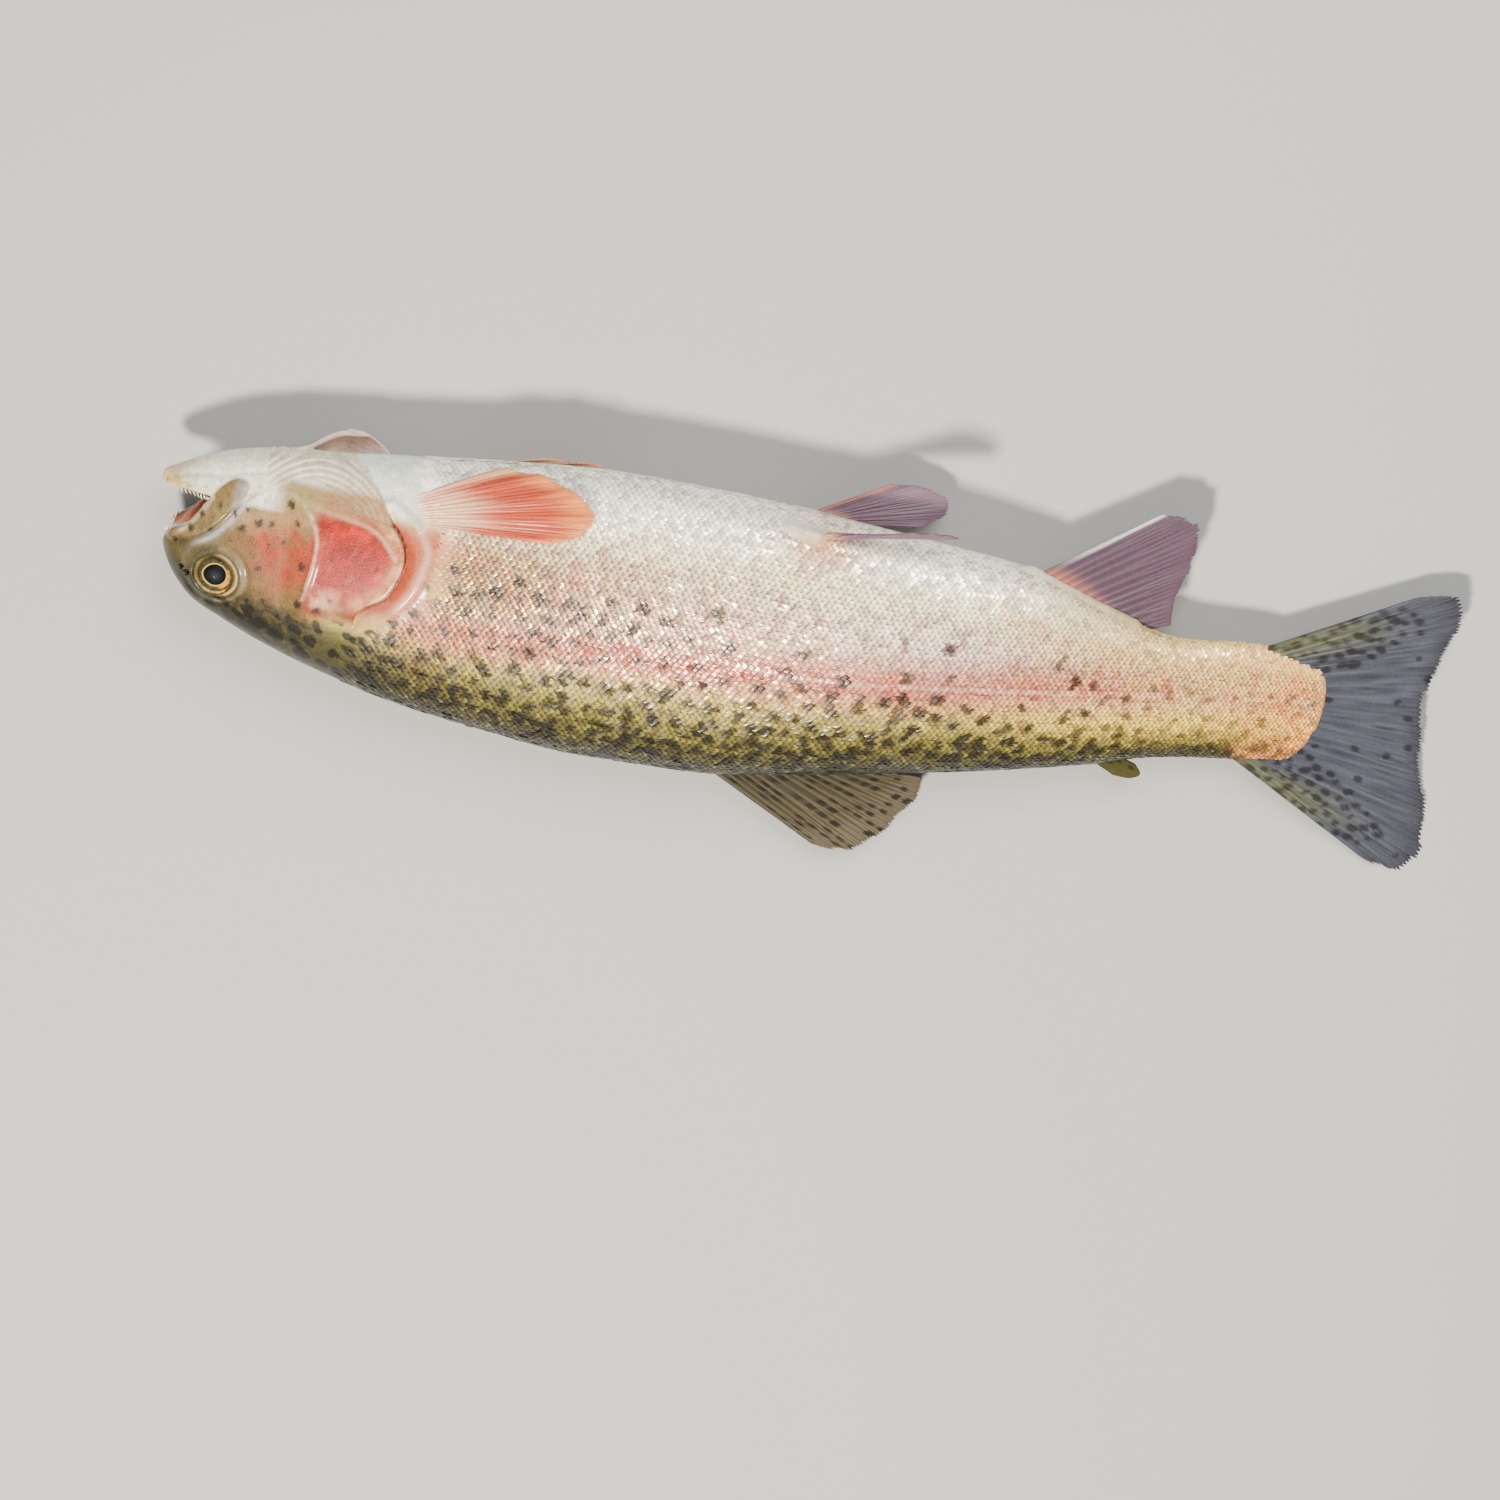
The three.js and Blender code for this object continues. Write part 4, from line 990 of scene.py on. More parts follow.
class Fin:
    """One rayed fin as a closed sheet, with each vertex's place across and along the rays."""

    def __init__(self, name, root, edge, rays, rows=44, per_ray=12, half=(0.95, 0.16), ridge=(0.34, 0.12),
                 notch=0.035, droop=0.0, ripple=0.3, angles=False, seed=1):
        self.name, self.rays = name, rays
        rng = np.random.default_rng(seed)
        columns = rays * per_ray + 1
        sheet = fin_grid(root, edge, columns, rows, droop, angles)
        c = np.linspace(0, 1, columns)[:, None] * np.ones((1, rows))
        r = np.linspace(0, 1, rows)[None, :] * np.ones((columns, 1))
        self.phase, self.run = c * rays, r
        ridge_here = ray_ridge(self.phase, r)
        torn = np.repeat(rng.uniform(0, 1, rays + 1), per_ray)[:columns] * notch
        cut = 1 - (notch * (1 - ridge_here[:, -1]) + torn)[:, None] * r**3
        sheet = sheet[:, :1] + (sheet - sheet[:, :1]) * cut[..., None]
        across = np.gradient(sheet, axis=0)
        out = np.gradient(sheet, axis=1)
        normal = np.cross(across, out)
        normal /= np.maximum(np.linalg.norm(normal, axis=2, keepdims=True), 1e-9)
        sheet = sheet + normal * (ripple * np.sin(2 * np.pi * self.phase / 3.1 + seed) * r)[..., None]
        thick = half[1] + (half[0] - half[1]) * (1 - r) ** 2.2
        bump = (ridge[1] + (ridge[0] - ridge[1]) * (1 - r)) * ridge_here
        joints = 0.85 + 0.15 * np.cos(2 * np.pi * r * rows / 3)
        full = (thick + bump * joints)[..., None]
        rim = np.minimum(1, np.minimum(np.minimum(c, 1 - c) * rays * 2.5, (1 - r) * rows / 2))[..., None]
        full = full * (0.25 + 0.75 * np.sqrt(rim))
        self.points = np.concatenate([(sheet + normal * full).reshape(-1, 3), (sheet - normal * full).reshape(-1, 3)])
        self.ridge = np.tile(ridge_here.ravel(), 2)
        self.run, self.phase = np.tile(r.ravel(), 2), np.tile(self.phase.ravel(), 2)
        self.faces = self.sheet_faces(columns, rows)

    @staticmethod
    def sheet_faces(columns, rows):
        count = columns * rows
        i, j = np.meshgrid(np.arange(columns - 1), np.arange(rows - 1), indexing="ij")
        corner = (i * rows + j).ravel()
        top = np.stack([corner, corner + rows, corner + rows + 1, corner + 1], 1)
        under = top[:, ::-1] + count
        border = np.concatenate([
            np.arange(columns) * rows, (columns - 1) * rows + np.arange(1, rows),
            np.arange(columns - 2, -1, -1) * rows + rows - 1, np.arange(rows - 2, 0, -1)])
        after = np.roll(border, -1)
        side = np.stack([after, border, border + count, after + count], 1)
        return np.vstack([top, under, side])


FIN_GREY = rgb(68, 62, 50)
FIN_DARK = rgb(34, 32, 34)
FIN_RAY = rgb(150, 142, 128)
DORSAL_OLIVE = rgb(54, 50, 36)
ANAL_MAUVE = rgb(84, 66, 80)
PELVIC_MAUVE = rgb(112, 90, 106)
PECTORAL_RED = rgb(182, 74, 50)
PECTORAL_BASE = rgb(228, 182, 148)
PECTORAL_TIP = rgb(224, 134, 74)
CAUDAL_GREY = rgb(62, 65, 76)
CAUDAL_GREEN = rgb(84, 87, 68)


def fin_spots(fin, pitch_run, size, seed, start=0.06):
    """Rows of dark dashes between the rays."""
    rng = np.random.default_rng(seed)
    ray = np.floor(fin.phase + 0.5).astype(int)
    shift = rng.uniform(0, 1, fin.rays + 3)[ray]
    step = fin.run / pitch_run + shift
    index = np.floor(step).astype(int)
    here = rng.uniform(0, 1, (fin.rays + 3, 60))[ray, index]
    off = np.abs(np.mod(step, 1) - 0.5)
    between = np.abs(np.mod(fin.phase + 0.5, 1) - 0.5)
    mark = smoothstep(off, size, size * 0.55) * smoothstep(between, 0.34, 0.2)
    return mark * (here > 0.42) * smoothstep(fin.run, start, start + 0.06) * (0.6 + 0.4 * here)


def fin_blots(fin, room, size, chance, seed):
    """Irregular dark spots scattered over a fin, where chance(across, along) is high."""
    rng = np.random.default_rng(seed)
    half = len(fin.points) // 2
    picks = []
    for n in rng.permutation(half)[:4000]:
        apart = all(np.linalg.norm(fin.points[n] - fin.points[m]) > room for m in picks)
        if apart and rng.uniform() < chance(fin.phase[n], fin.run[n]):
            picks.append(n)
    out = np.zeros(len(fin.points))
    for n in picks:
        away = fin.points - fin.points[n]
        turn, stretch = rng.uniform(-0.5, 0.5), rng.uniform(1.1, 1.8)
        u = (away[:, 0] * math.cos(turn) + away[:, 1] * math.sin(turn)) / stretch
        v = away[:, 1] * math.cos(turn) - away[:, 0] * math.sin(turn)
        wide = size * rng.uniform(0.7, 1.2)
        out = np.maximum(out, smoothstep(np.sqrt(u**2 + v**2 + away[:, 2] ** 2 * 0.2), wide + 0.2, wide - 0.3))
    return out


def fin_colour(fin):
    count = len(fin.points)
    ridge, run = fin.ridge[:, None], fin.run[:, None]
    name = fin.name
    if name.startswith("pectoral"):
        streak = value_noise(fin.phase * 3, fin.run * 5, 1.0, 17)
        pale = 0.12 if name.endswith("left") else 1
        red = smoothstep(fin.run + 0.1 * streak, 0.26, 0.6)
        colour = wash(np.repeat(PECTORAL_BASE[None], count, 0), red * pale, PECTORAL_RED)
        colour = wash(colour, smoothstep(fin.run + 0.08 * streak, 0.78, 1.0) * pale, PECTORAL_TIP)
        colour = wash(colour, 0.6 * smoothstep(fin.phase, 2.0, 0.4), PECTORAL_BASE)
        return colour * (0.9 + 0.14 * ridge + 0.12 * streak[:, None])
    if name.startswith("pelvic"):
        base = PELVIC_MAUVE + (PECTORAL_BASE - PELVIC_MAUVE) * (1 - smoothstep(run, 0.05, 0.35))
        lead = smoothstep(fin.phase, 1.2, 0.3)[:, None]
        base = base + (BLUSH - base) * lead * 0.5
        return base * (0.76 + 0.36 * ridge)
    if name == "anal_fin":
        base = ANAL_MAUVE + (BLUSH - ANAL_MAUVE) * (1 - smoothstep(run, 0.0, 0.25)) * 0.7
        lead = smoothstep(fin.phase, 0.6, 0.1)[:, None] * smoothstep(run, 0.1, 0.5)
        base = base + (BELLY_WHITE - base) * lead * 0.6
        return base * (0.7 + 0.42 * ridge)
    if name == "adipose_fin":
        base = np.repeat(OLIVE[None] * 0.95, count, 0)
        spots = fin_spots(fin, 0.34, 0.3, 5)
        return wash(base, spots * 0.8, SPOT)
    if name == "dorsal_fin":
        base = DORSAL_OLIVE + (FIN_GREY - DORSAL_OLIVE) * smoothstep(run, 0.5, 1.0)
        colour = base * (0.75 + 1.1 * ridge)
        return wash(colour, 0.95 * fin_spots(fin, 0.105, 0.42, 3), SPOT)
    lobe = smoothstep(np.abs(fin.phase / fin.rays - 0.5), 0.24, 0.44) * smoothstep(fin.run, 0.8, 0.25)
    base = CAUDAL_GREY + (CAUDAL_GREEN - CAUDAL_GREY) * lobe[:, None]
    streak = value_noise(fin.phase * 4, fin.run * 6, 1.0, 12) + 0.6 * value_noise(fin.phase * 9, fin.run * 3, 1.0, 13)
    colour = base * (0.86 + 0.3 * ridge + 0.26 * streak[:, None])
    colour = wash(colour, 0.4 * smoothstep(fin.run, 0.82, 1.0), FIN_DARK)
    spread = lambda phase, run: 0.95 * (abs(phase / fin.rays - 0.5) > 0.14 + 0.22 * run) * (run < 0.8) + 0.004
    return wash(colour, 0.7 * fin_blots(fin, 2.9, 1.1, spread, 14), SPOT)


FINS = (
    Fin("dorsal_fin", [(163, -42, 0), (185, -39, 0), (206, -35.5, 0)],
        [(202, -66, -5.6), (212, -66.4, -6), (219, -62, -5.6), (224, -55, -4.6), (230, -45, -3), (231, -37.5, -2)],
        rays=14, notch=0.03, seed=2),
    Fin("adipose_fin", [(275, -23, 0), (279, -22, 0), (283, -21, 0)],
        [(285, -28.6, -0.5), (290, -29.2, -1), (293, -27.6, -1.2), (291, -24.4, -1)],
        rays=4, rows=24, half=(1.0, 0.22), ridge=(0.04, 0.02), notch=0.0, ripple=0.0, seed=3),
    Fin("anal_fin", [(251, 29, 0), (268, 22, 0), (282, 16, 0)],
        [(287, 53, -4), (295, 52, -4), (298, 47, -3.6), (297, 38, -3), (294, 27, -2), (294, 19.5, -1)],
        rays=13, notch=0.03, seed=4),
    Fin("caudal_fin", [(316, 14, 0), (332, 12.5, 0), (337, -1, 0), (332, -15.5, 0), (314, -16, 0)],
        [(365, 38.6, 0), (376, 40, 0.4), (377.6, 30.8, 0.8), (373, 16, 0.4), (372, 4, 0), (374.4, -11, -0.3),
         (379.3, -29, -0.4), (380, -41, -0.2), (375, -48.6, 0), (363, -46, 0)],
        rays=24, rows=52, notch=0.035, half=(1.7, 0.18), seed=5),
    Fin("pelvic_fin_left", [(181, 34.5, -5.5), (184.5, 34, -6.5), (188, 33.5, -7)],
        [(208, 47.4, -12.5), (217, 47, -14.5), (225, 44.6, -15), (225, 39.6, -14), (218, 35.5, -11.5)],
        rays=10, notch=0.03, seed=6),
    Fin("pelvic_fin_right", [(181, 34, 6.5), (185, 34, 7.5), (189, 34, 8.5)],
        [(229, 41.2, 10.5), (229, 42.6, 13), (226, 43.6, 15.6), (221, 44.2, 17.6), (215, 43.6, 18.4)],
        rays=10, notch=0.02, half=(0.95, 0.2), seed=7),
    Fin("pectoral_fin_right", [(66.5, 43, -1.6), (68.5, 48, -1.6), (70, 54, -1.6)],
        [(97, 13, 1.6), (107, 17, 2.2), (115, 24, 2.6), (122, 33, 2.8), (126, 43, 2.8), (122, 52, 2.4), (113, 57, 2.0)],
        rays=13, notch=0.025, angles=True, seed=8),
    Fin("pectoral_fin_left", [(66.5, -43, -1.6), (68.5, -48, -1.6), (70, -54, -1.6)],
        [(106, -14, 1.2), (118, -16, 1.4), (129, -22, 1.4), (132, -32, 1.6), (129, -42, 1.8), (122, -50, 1.8)],
        rays=13, notch=0.025, angles=True, seed=9),
)


# ---- Eyes, teeth and tongue ----

PUPIL, IRIS_INNER = 3.2, 3.6  # mm from the eye's middle
CORNEA_BULGE = 0.75
EYE_GOLD = rgb(210, 136, 38)
EYE_YELLOW = rgb(188, 164, 74)
EYE_BROWN = rgb(84, 74, 50)
EYE_RIM = rgb(34, 30, 28)
PUPIL_BLUE = rgb(4, 7, 14)


def disc_faces(rings, spokes):
    faces = [(0, 1 + n, 1 + (n + 1) % spokes) for n in range(spokes)]
    for ring in range(rings - 1):
        a, b = 1 + ring * spokes, 1 + (ring + 1) * spokes
        faces += [(a + n, b + n, b + (n + 1) % spokes, a + (n + 1) % spokes) for n in range(spokes)]
    return faces


def disc_points(radii, spokes):
    turn = np.linspace(0, 2 * np.pi, spokes, endpoint=False)
    flat = [np.zeros((1, 2))] + [r * np.stack([np.cos(turn), np.sin(turn)], 1) for r in radii]
    return np.vstack(flat), np.concatenate([[0.0]] + [np.full(spokes, r) for r in radii]), \
        np.concatenate([[0.0]] + [turn] * len(radii))


def eye_ball(side):
    """Iris, pupil and the dark ball behind them."""
    spokes = 96
    radii = np.concatenate([np.linspace(0.4, PUPIL - 0.05, 7), [PUPIL, PUPIL + 0.12],
                            np.linspace(IRIS_INNER, EYE_RADIUS - 0.05, 16)])
    flat, r, turn = disc_points(radii, spokes)
    pointed = 1 + 0.1 * np.maximum(0, np.cos(turn - np.pi)) ** 6 * smoothstep(r, 1, 3) * smoothstep(r, 5, 3)
    flat = flat * pointed[:, None]
    dome = np.sqrt(np.maximum(0, 1 - (r / (EYE_RADIUS + 0.12)) ** 2))
    up = EYE_DEPTH * dome * 0.96 - 0.55 * smoothstep(r, EYE_RADIUS, 5.6)
    up = up - 0.35 * smoothstep(r, PUPIL + 0.14, PUPIL - 0.02) + 0.3 * np.sqrt(np.maximum(0, 1 - (r / PUPIL) ** 2))
    up = up + 0.07 * np.sin(turn * 23 + 3 * np.sin(turn * 5)) * smoothstep(r, 3.3, 3.8) * smoothstep(r, 6.3, 5.2)
    points = np.stack([EYE[0] + flat[:, 0], EYE[1] + flat[:, 1], side * (EYE[2] + up)], 1)
    speck = value_noise(flat[:, 0] + 20, flat[:, 1] + 20, 0.55, 7)
    streak = value_noise(turn * 9 + 40, r * 0.7, 1.0, 8)
    rear = np.cos(turn + 0.3)
    iris = smoothstep(r, IRIS_INNER, 4.0)
    colour = ramp(r + 0.15 * speck * iris, [
        (PUPIL - 0.04, PUPIL_BLUE), (PUPIL + 0.04, EYE_YELLOW), (IRIS_INNER - 0.12, EYE_YELLOW * 0.85),
        (IRIS_INNER + 0.1, EYE_BROWN * 0.55), (4.9, EYE_BROWN * 0.6), (5.4, EYE_BROWN), (6.3, EYE_BROWN * 0.8),
        (6.8, EYE_RIM)])
    inner = bell(r - 4.05, 0.6) * smoothstep(rear + 0.08 * streak, 0.45, 0.85) * smoothstep(r, PUPIL, IRIS_INNER)
    colour = wash(colour, 0.95 * inner, EYE_GOLD)
    outer = bell(r - 5.8 - 0.15 * speck, 0.45) * (0.3 + 0.7 * smoothstep(rear + 0.3 * speck, -0.6, 0.4))
    colour = wash(colour, 0.9 * outer, EYE_YELLOW)
    colour = wash(colour, 0.7 * bell(r - 5.05, 0.28) * iris, EYE_RIM)
    colour = colour * (1 + 0.5 * (streak * iris)[:, None] + 0.25 * (speck * iris)[:, None])
    faces = disc_faces(len(radii), spokes)
    return points, faces if side > 0 else [f[::-1] for f in faces], colour


def cornea(side):
    spokes = 72
    radii = np.linspace(0.5, EYE_RADIUS, 16)
    flat, r, _ = disc_points(radii, spokes)
    up = EYE_DEPTH * np.sqrt(np.maximum(0, 1 - (r / EYE_RADIUS) ** 2)) + CORNEA_BULGE * bell(r, 3.6)
    points = np.stack([EYE[0] + flat[:, 0], EYE[1] + flat[:, 1], side * (EYE[2] + up)], 1)
    faces = disc_faces(len(radii), spokes)
    return points, faces if side > 0 else [f[::-1] for f in faces]


def half_width_at(x, y):
    """How far from the midline the plain skin is at a place in side view."""
    h = np.minimum(np.abs(height(x, y)), 1)
    return section(x, HALF_WIDTH) * (1 - h**SECTION_POWER) ** (1 / SECTION_POWER)


TEETH_ROWS = (  # side-view line, height, inset from the skin, count, pointing down (+) or up (-)
    ([(1.5, 5.0), (6, 7.2), (9.5, 10.2), (12.6, 15.4)], 1.5, 1.5, 15, 1),
    ([(0.5, 17.6), (5, 17.7), (10, 17.5), (13.5, 17.0)], 1.5, 1.8, 13, -1),
)


def tooth(base, direction, tall, wide):
    """A curved cone of five sides."""
    direction = direction / np.linalg.norm(direction)
    side = np.cross(direction, (0, 0, 1.0))
    side /= max(np.linalg.norm(side), 1e-6)
    other = np.cross(direction, side)
    points = []
    for t, girth in ((-0.3, 1.0), (0.45, 0.7), (0.8, 0.35)):
        centre = base + direction * tall * t + np.array((0.25, 0, 0)) * tall * t * t
        for n in range(5):
            turn = 2 * np.pi * n / 5
            points.append(centre + (side * math.cos(turn) + other * math.sin(turn)) * wide * girth)
    points.append(base + direction * tall + np.array((0.25, 0, 0)) * tall)
    faces = [(r * 5 + n, r * 5 + (n + 1) % 5, (r + 1) * 5 + (n + 1) % 5, (r + 1) * 5 + n)
             for r in range(2) for n in range(5)]
    faces += [(10 + n, 10 + (n + 1) % 5, 15) for n in range(5)] + [(4, 3, 2, 1, 0)]
    return np.array(points), faces


def join(parts):
    points, faces, start = [], [], 0
    for p, f in parts:
        points.append(p)
        faces += [tuple(i + start for i in face) for face in f]
        start += len(p)
    return np.vstack(points), faces


def teeth():
    rng = np.random.default_rng(9)
    out = []
    for line, tall, inset, count, down in TEETH_ROWS:
        smooth = spline(line, 8)
        for t in np.linspace(0, 1, count):
            at = np.array([np.interp(t, np.linspace(0, 1, len(smooth)), smooth[:, k]) for k in range(2)])
            z = max(half_width_at(at[0] + 0.8, at[1]) - inset, 0.8)
            for side in (1, -1):
                lean = np.array((0.25, down, -0.35 * side)) + rng.normal(0, 0.08, 3)
                base = np.array((at[0] + 0.6, at[1] - 0.2 * down, z * side))
                out.append(tooth(base, lean, tall * rng.uniform(0.75, 1.1), 0.27))
    for row in range(5):
        for side in (1, -1):
            base = np.array((9.5 + 2.0 * row, TONGUE_TOP + 0.15, 1.1 * side))
            out.append(tooth(base, np.array((0.4, -1, 0.1 * side)), 1.0, 0.22))
    return join(out)


TONGUE_START, TONGUE_END, TONGUE_TOP, TONGUE_HALF = 4.4, 24.0, 15.8, 3.3


def tongue():
    """A flat tongue with a rounded tip and a shallow furrow."""
    xs = np.linspace(0, 1, 26)
    turn = np.linspace(0, 2 * np.pi, 28, endpoint=False)
    points = []
    for t in xs:
        wide = TONGUE_HALF * max(0.02, (1 - (1 - min(t * 3.2, 1)) ** 2)) ** 0.5
        tall = 1.35 * (0.3 + 0.7 * min(1, t * 2.5))
        for a in turn:
            top = max(0.0, math.sin(a))
            y = TONGUE_TOP + 1.1 - math.sin(a) * tall + 0.35 * top * math.exp(-(math.cos(a) * 2.5) ** 2) + 0.8 * t * t
            points.append((TONGUE_START + t * (TONGUE_END - TONGUE_START), y, wide * math.cos(a)))
    n = len(turn)
    faces = [(r * n + k, (r + 1) * n + k, (r + 1) * n + (k + 1) % n, r * n + (k + 1) % n)
             for r in range(len(xs) - 1) for k in range(n)]
    faces += [tuple(range(n)), tuple(range(len(points) - 1, len(points) - n - 1, -1))]
    return np.array(points), faces


# ---- Materials ----

class Graph:
    """A material's nodes, added one at a time."""

    def __init__(self, name):
        self.material = bpy.data.materials.new(name)
        self.material.use_nodes = True
        self.tree = self.material.node_tree
        self.shader = self.tree.nodes["Principled BSDF"]

    def add(self, kind, **inputs):
        node = self.tree.nodes.new(kind)
        for key, value in inputs.items():
            self.put(node, key.replace("_", " "), value)
        return node

    def put(self, node, key, value):
        socket = node.inputs[key]
        if isinstance(value, bpy.types.NodeSocket):
            self.tree.links.new(value, socket)
        else:
            socket.default_value = value

    def set(self, **inputs):
        for key, value in inputs.items():
            self.put(self.shader, key.replace("_", " "), value)

    def place(self):
        return self.add("ShaderNodeTexCoord").outputs["Object"]

    def noise(self, per_mm, detail=3.0, rough=0.55, place=None):
        return self.add("ShaderNodeTexNoise", Vector=place or self.place(), Scale=per_mm * 1000,
                        Detail=detail, Roughness=rough).outputs["Fac"]

    def attribute(self, name):
        node = self.tree.nodes.new("ShaderNodeAttribute")
        node.attribute_name = name
        return node

    def math(self, operation, a, b, clamp=False):
        node = self.tree.nodes.new("ShaderNodeMath")
        node.operation, node.use_clamp = operation, clamp
        self.put(node, 0, a)
        self.put(node, 1, b)
        return node.outputs[0]

    def span(self, value, low, high, to_low, to_high):
        node = self.tree.nodes.new("ShaderNodeMapRange")
        for key, v in (("Value", value), ("From Min", low), ("From Max", high), ("To Min", to_low),
                       ("To Max", to_high)):
            self.put(node, key, v)
        return node.outputs["Result"]

    def scaled(self, colour, factor):
        node = self.tree.nodes.new("ShaderNodeVectorMath")
        node.operation = "SCALE"
        self.put(node, 0, colour)
        self.put(node, "Scale", factor)
        return node.outputs["Vector"]

    def mix(self, kind, factor, a, b):
        node = self.tree.nodes.new("ShaderNodeMix")
        node.data_type, node.blend_type = "RGBA", kind
        self.put(node, 0, factor)
        self.put(node, 6, a)
        self.put(node, 7, b)
        return node.outputs[2]

    def bump(self, height, strength, distance):
        return self.add("ShaderNodeBump", Height=height, Strength=strength, Distance=distance / 1000).outputs["Normal"]


def skin_material():
    """Wet skin: the painted colour, fine mottling, pores and a slimy coat."""
    g = Graph("trout_skin")
    tint = g.attribute("tint").outputs["Color"]
    fine, lumps = g.noise(1.6, 4), g.noise(0.35, 3)
    specks = g.noise(4.2, 2)
    colour = g.scaled(tint, g.span(fine, 0.3, 0.7, 0.8, 1.2))
    colour = g.scaled(colour, g.span(lumps, 0.3, 0.7, 0.86, 1.14))
    colour = g.scaled(colour, g.span(specks, 0.3, 0.42, 0.82, 1.02))
    silver = g.attribute("silver").outputs["Fac"]
    g.set(Base_Color=colour, Metallic=g.math("MULTIPLY", silver, 0.35), Roughness=g.span(fine, 0.3, 0.7, 0.3, 0.46),
          Specular_IOR_Level=0.25, Coat_Weight=0.3, Coat_Roughness=0.1, Coat_IOR=1.36, Subsurface_Weight=0.04,
          Subsurface_Scale=0.002,
          Normal=g.bump(g.math("ADD", g.noise(2.6, 3), g.math("MULTIPLY", fine, 0.6)), 0.6, 0.2))
    return g.material


def scale_material():
    """Scales: the same painted colour, with a pearly sheen that differs from plate to plate, painted glints on the
    brightest plates and painted shade at each plate's root, sides and rim.
    """
    g = Graph("trout_scales")
    tint = g.attribute("tint").outputs["Color"]
    plate = g.attribute("plate").outputs["Fac"]
    edge = g.attribute("edge").outputs["Fac"]
    silver = g.attribute("silver").outputs["Fac"]
    grain = g.noise(3.2, 3)
    # each plate's brightness differs at random, partly real and partly painted light for plates that catch the light at
    # different tilts
    colour = g.scaled(tint, g.span(plate, -1.6, 1.6, 0.56, 1.42))
    # the edge attribute is painted shade at each plate's root, sides and rim, partly the dark outlines between scales,
    # with a brighter middle
    colour = g.scaled(colour, g.span(edge, 0.0, 1.0, 0.12, 1.3))
    pearl = g.mix("MIX", g.span(plate, -2, 2, 0, 1), (1.08, 0.9, 0.95, 1), (0.98, 1.03, 0.84, 1))
    colour = g.mix("MULTIPLY", 0.8, colour, pearl)
    # painted highlight: the middles of the brightest plates are washed towards pale gold on the dark back and near
    # white on the silver flank
    painted_glint = g.math("MULTIPLY", g.span(plate, 0.7, 1.7, 0.0, 0.55), g.span(edge, 0.6, 1.0, 0.0, 1.0))
    painted_glint = g.math("MULTIPLY", painted_glint, g.span(silver, 0.04, 0.4, 0.0, 1.0))
    painted_glint_colour = g.mix("MIX", g.span(silver, 0.2, 0.5, 0.0, 1.0), (0.82, 0.72, 0.42, 1), (1.2, 1.15, 1.02, 1))
    colour = g.mix("MIX", painted_glint, colour, painted_glint_colour)
    rough = g.span(plate, 0.2, 1.8, 0.4, 0.14)
    rough = g.math("ADD", rough, g.span(grain, 0.3, 0.7, -0.05, 0.05))
    g.set(Base_Color=colour, Metallic=g.math("MULTIPLY", silver, g.span(plate, 0.0, 1.5, 0.1, 0.8)), Roughness=rough, Specular_IOR_Level=0.35,
          Coat_Weight=0.25, Coat_Roughness=0.1, Coat_IOR=1.36, Normal=g.bump(grain, 0.25, 0.05))
    return g.material


def fin_material():
    """Rayed membrane: painted rays, a thin wet sheet that lets some light through."""
    g = Graph("fin_membrane")
    tint = g.attribute("tint").outputs["Color"]
    fine = g.noise(1.8, 4)
    colour = g.scaled(tint, g.span(fine, 0.3, 0.7, 0.85, 1.15))
    g.set(Base_Color=colour, Roughness=g.span(fine, 0.3, 0.7, 0.32, 0.5), Specular_IOR_Level=0.2, Coat_Weight=0.15,
          Coat_Roughness=0.15, Coat_IOR=1.36, Subsurface_Weight=0.12, Subsurface_Scale=0.0015, Normal=g.bump(g.noise(3, 3), 0.3, 0.06))
    return g.material


def eye_material():
    g = Graph("eye_iris")
    tint = g.attribute("tint").outputs["Color"]
    fleck = g.noise(4, 4)
    g.set(Base_Color=g.scaled(tint, g.span(fleck, 0.3, 0.7, 0.75, 1.25)), Metallic=0.1, Roughness=0.5,
          Specular_IOR_Level=0.1, Normal=g.bump(fleck, 0.3, 0.05))
    return g.material


def cornea_material():
    g = Graph("eye_cornea")
    veil = g.noise(0.8, 2)
    g.set(Base_Color=(0.02, 0.03, 0.04, 1), Roughness=0.03, Alpha=g.span(veil, 0.3, 0.7, 0.03, 0.07), IOR=1.38,
          Coat_Weight=0.5, Coat_Roughness=0.02)
    return g.material


def plain_material(name, colour, rough, soft=0.1):
    g = Graph(name)
    fine = g.noise(1.4, 4)
    base = g.mix("MIX", g.span(fine, 0.3, 0.7, 0, 1), (*(colour * 0.82), 1), (*(np.minimum(colour * 1.12, 1)), 1))
    g.set(Base_Color=base, Roughness=rough, Coat_Weight=0.4, Coat_Roughness=0.1, Subsurface_Weight=soft,
          Subsurface_Scale=0.001, Normal=g.bump(g.noise(2.2, 3), 0.3, 0.1))
    return g.material


# ---- Building the pieces ----

def piece(name, points, faces, material, slot, colour=None, replaced=(), **values):
    mesh = bpy.data.meshes.new(name)
    mesh.from_pydata(lay_down(points), [], faces if isinstance(faces, list) else faces.tolist())
    if colour is not None:
        layer = mesh.attributes.new("tint", "FLOAT_COLOR", "POINT")
        full = np.concatenate([np.clip(colour, 0, 1), np.ones((len(points), 1))], 1)
        layer.data.foreach_set("color", full.astype(np.float32).ravel())
    for key, value in values.items():
        layer = mesh.attributes.new(key, "FLOAT", "POINT")
        layer.data.foreach_set("value", np.asarray(value, np.float32))
    mesh.materials.append(material)
    mesh.shade_smooth()
    mesh.update()
    shape = bpy.data.objects.new(name, mesh)
    bpy.context.scene.collection.objects.link(shape)
    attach(shape, "root")
    if replaced:
        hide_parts(*replaced)
    return shape


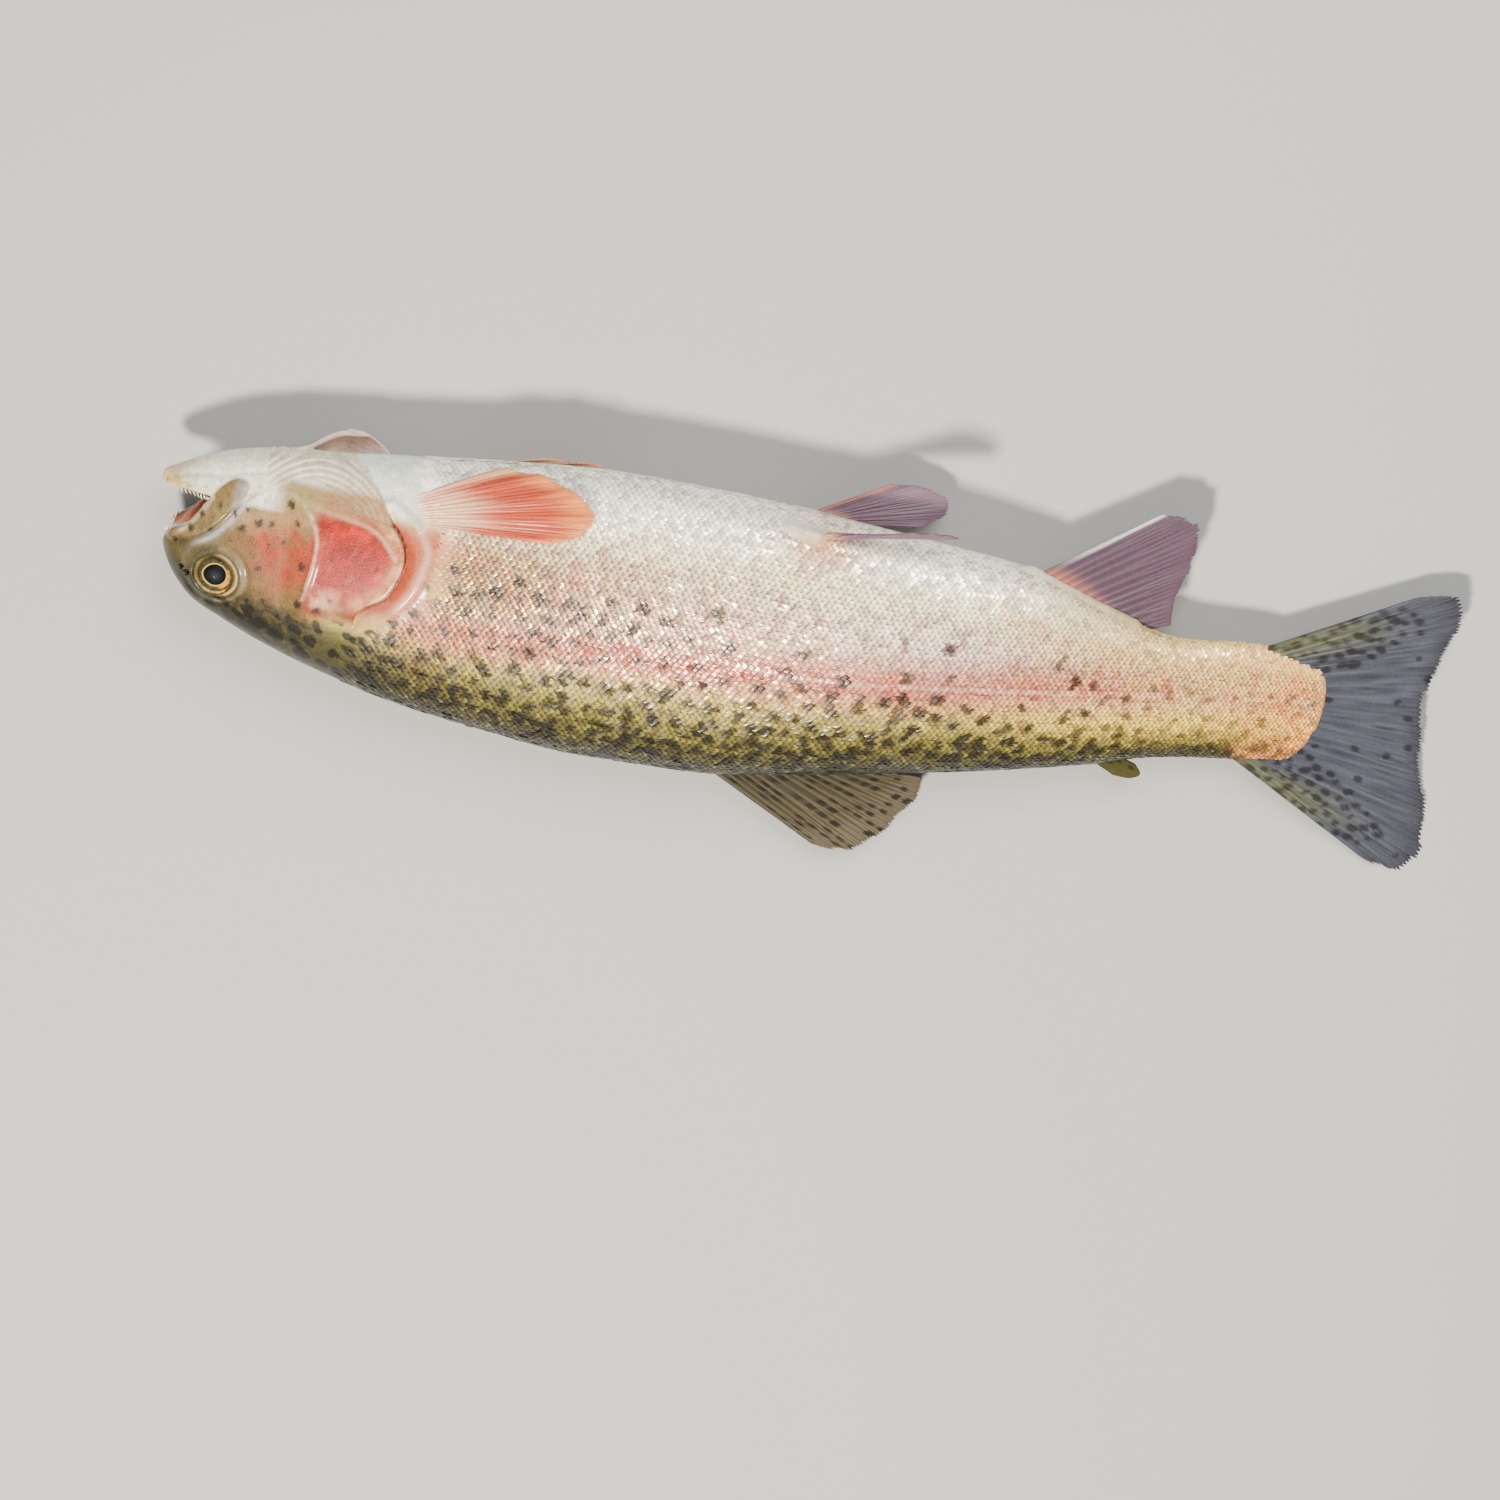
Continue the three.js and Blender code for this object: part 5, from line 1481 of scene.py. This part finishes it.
FLESH_NODES = ("cranium", "maxilla_right", "maxilla_left", "lower_jaw", "throat", "gill_cover_right",
               "gill_cover_left", "gill_membrane_right", "gill_membrane_left", "shoulder", "trunk_front",
               "trunk_middle", "trunk_rear", "tail_peduncle")


def build_skin():
    points, faces = skin_mesh()
    colour, silver = paint(points, scaly=False)
    piece("skin", points, faces, skin_material(), "skin", colour, FLESH_NODES, silver=silver)


def build_scales():
    roots = scale_roots()
    material = scale_material()
    order = np.argsort(roots[:, 0])
    for n, part in enumerate(np.array_split(roots[order], PIECES)):
        points, faces, layout, plate, edge, middles = scale_tiles(part)
        colour, silver = paint(points, True, middles)
        shape = piece(f"scales_{n + 1}", points, faces, material, "skin", colour, silver=silver, plate=plate,
                      edge=edge)
        uv = shape.data.uv_layers.new(name="OFBake")
        uv.data.foreach_set("uv", layout[faces.ravel()].astype(np.float32).ravel())


def build_fins():
    material = fin_material()
    for fin in FINS:
        slot = "pectoral_fins" if fin.name.startswith("pectoral") else "fins"
        piece(f"{fin.name}_rays", fin.points, fin.faces, material, slot, fin_colour(fin), (fin.name,))


def build_eyes():
    iris, clear = eye_material(), cornea_material()
    for side, name in ((1, "eye_right"), (-1, "eye_left")):
        points, faces, colour = eye_ball(side)
        piece(f"{name}_iris", points, faces, iris, "eyes", colour, (name,))
        points, faces = cornea(side)
        piece(f"{name}_cornea", points, faces, clear, "eyes")


def build_mouth():
    points, faces = tongue()
    piece("tongue_flesh", points, faces, plain_material("tongue_flesh", MOUTH_PINK, 0.4), "mouth",
          replaced=("tongue",))
    points, faces = teeth()
    piece("teeth", points, faces, plain_material("tooth_enamel", rgb(232, 224, 200), 0.3), "mouth")


# ---- Stage ----

CAMERA_TILT = math.radians(16)  # the camera looks a little from the belly's side
CAMERA_TURN = math.radians(9)  # the fish slopes down to the right in the image
CAMERA_DISTANCE = 1.5
MM_PER_IMAGE = 435.2  # width of the image in the fish's plane
CAMERA_ANGLE = 2 * math.atan(MM_PER_IMAGE / 2000 / CAMERA_DISTANCE)
AIM = (-0.0, 0.0, 0.02)
AIM_PLACE = (0.5343, 0.44)  # where that point is in the image, from its top left


def build_camera():
    data = bpy.data.cameras.new("camera")
    data.angle = CAMERA_ANGLE
    data.clip_start = 0.01
    shape = bpy.data.objects.new("camera", data)
    bpy.context.scene.collection.objects.link(shape)
    back = Vector((0, math.sin(CAMERA_TILT), math.cos(CAMERA_TILT)))
    level = Vector((1, 0, 0))
    upward = back.cross(level)
    right = level * math.cos(CAMERA_TURN) + upward * math.sin(CAMERA_TURN)
    up = upward * math.cos(CAMERA_TURN) - level * math.sin(CAMERA_TURN)
    width = MM_PER_IMAGE / 1000
    middle = Vector(AIM) - right * (AIM_PLACE[0] - 0.5) * width + up * (AIM_PLACE[1] - 0.5) * width
    turn = Matrix((right, up, back)).transposed().to_4x4()
    turn.translation = middle + back * CAMERA_DISTANCE
    shape.matrix_world = turn
    bpy.context.scene.camera = shape


def build_light(name, place, size, power, colour=(1, 1, 1)):
    data = bpy.data.lights.new(name, "AREA")
    data.size, data.energy, data.color = size, power, colour
    shape = bpy.data.objects.new(name, data)
    shape.location = place
    shape.rotation_euler = (-Vector(place)).to_track_quat("-Z", "Y").to_euler()
    bpy.context.scene.collection.objects.link(shape)


def build_stage():
    mesh = bpy.data.meshes.new("floor")
    reach = 6.0
    mesh.from_pydata([(-reach, -reach, 0), (reach, -reach, 0), (reach, reach, 0), (-reach, reach, 0)], [],
                     [(0, 1, 2, 3)])
    g = Graph("floor")
    g.set(Base_Color=(0.4, 0.41, 0.42, 1), Roughness=0.85)
    mesh.materials.append(g.material)
    floor = bpy.data.objects.new("floor", mesh)
    bpy.context.scene.collection.objects.link(floor)
    world = bpy.data.worlds.new("studio")
    world.use_nodes = True
    world.node_tree.nodes["Background"].inputs["Color"].default_value = (0.94, 0.96, 1.0, 1)
    world.node_tree.nodes["Background"].inputs["Strength"].default_value = 0.2
    bpy.context.scene.world = world
    build_light("key", (-0.25, -0.6, 1.2), 0.16, 48, (1.0, 0.91, 0.76))
    build_light("fill", (0.25, 0.8, 1.0), 0.7, 22, (1.0, 0.96, 0.9))


build_skin()
build_scales()
build_fins()
build_eyes()
build_mouth()
build_camera()
build_stage()
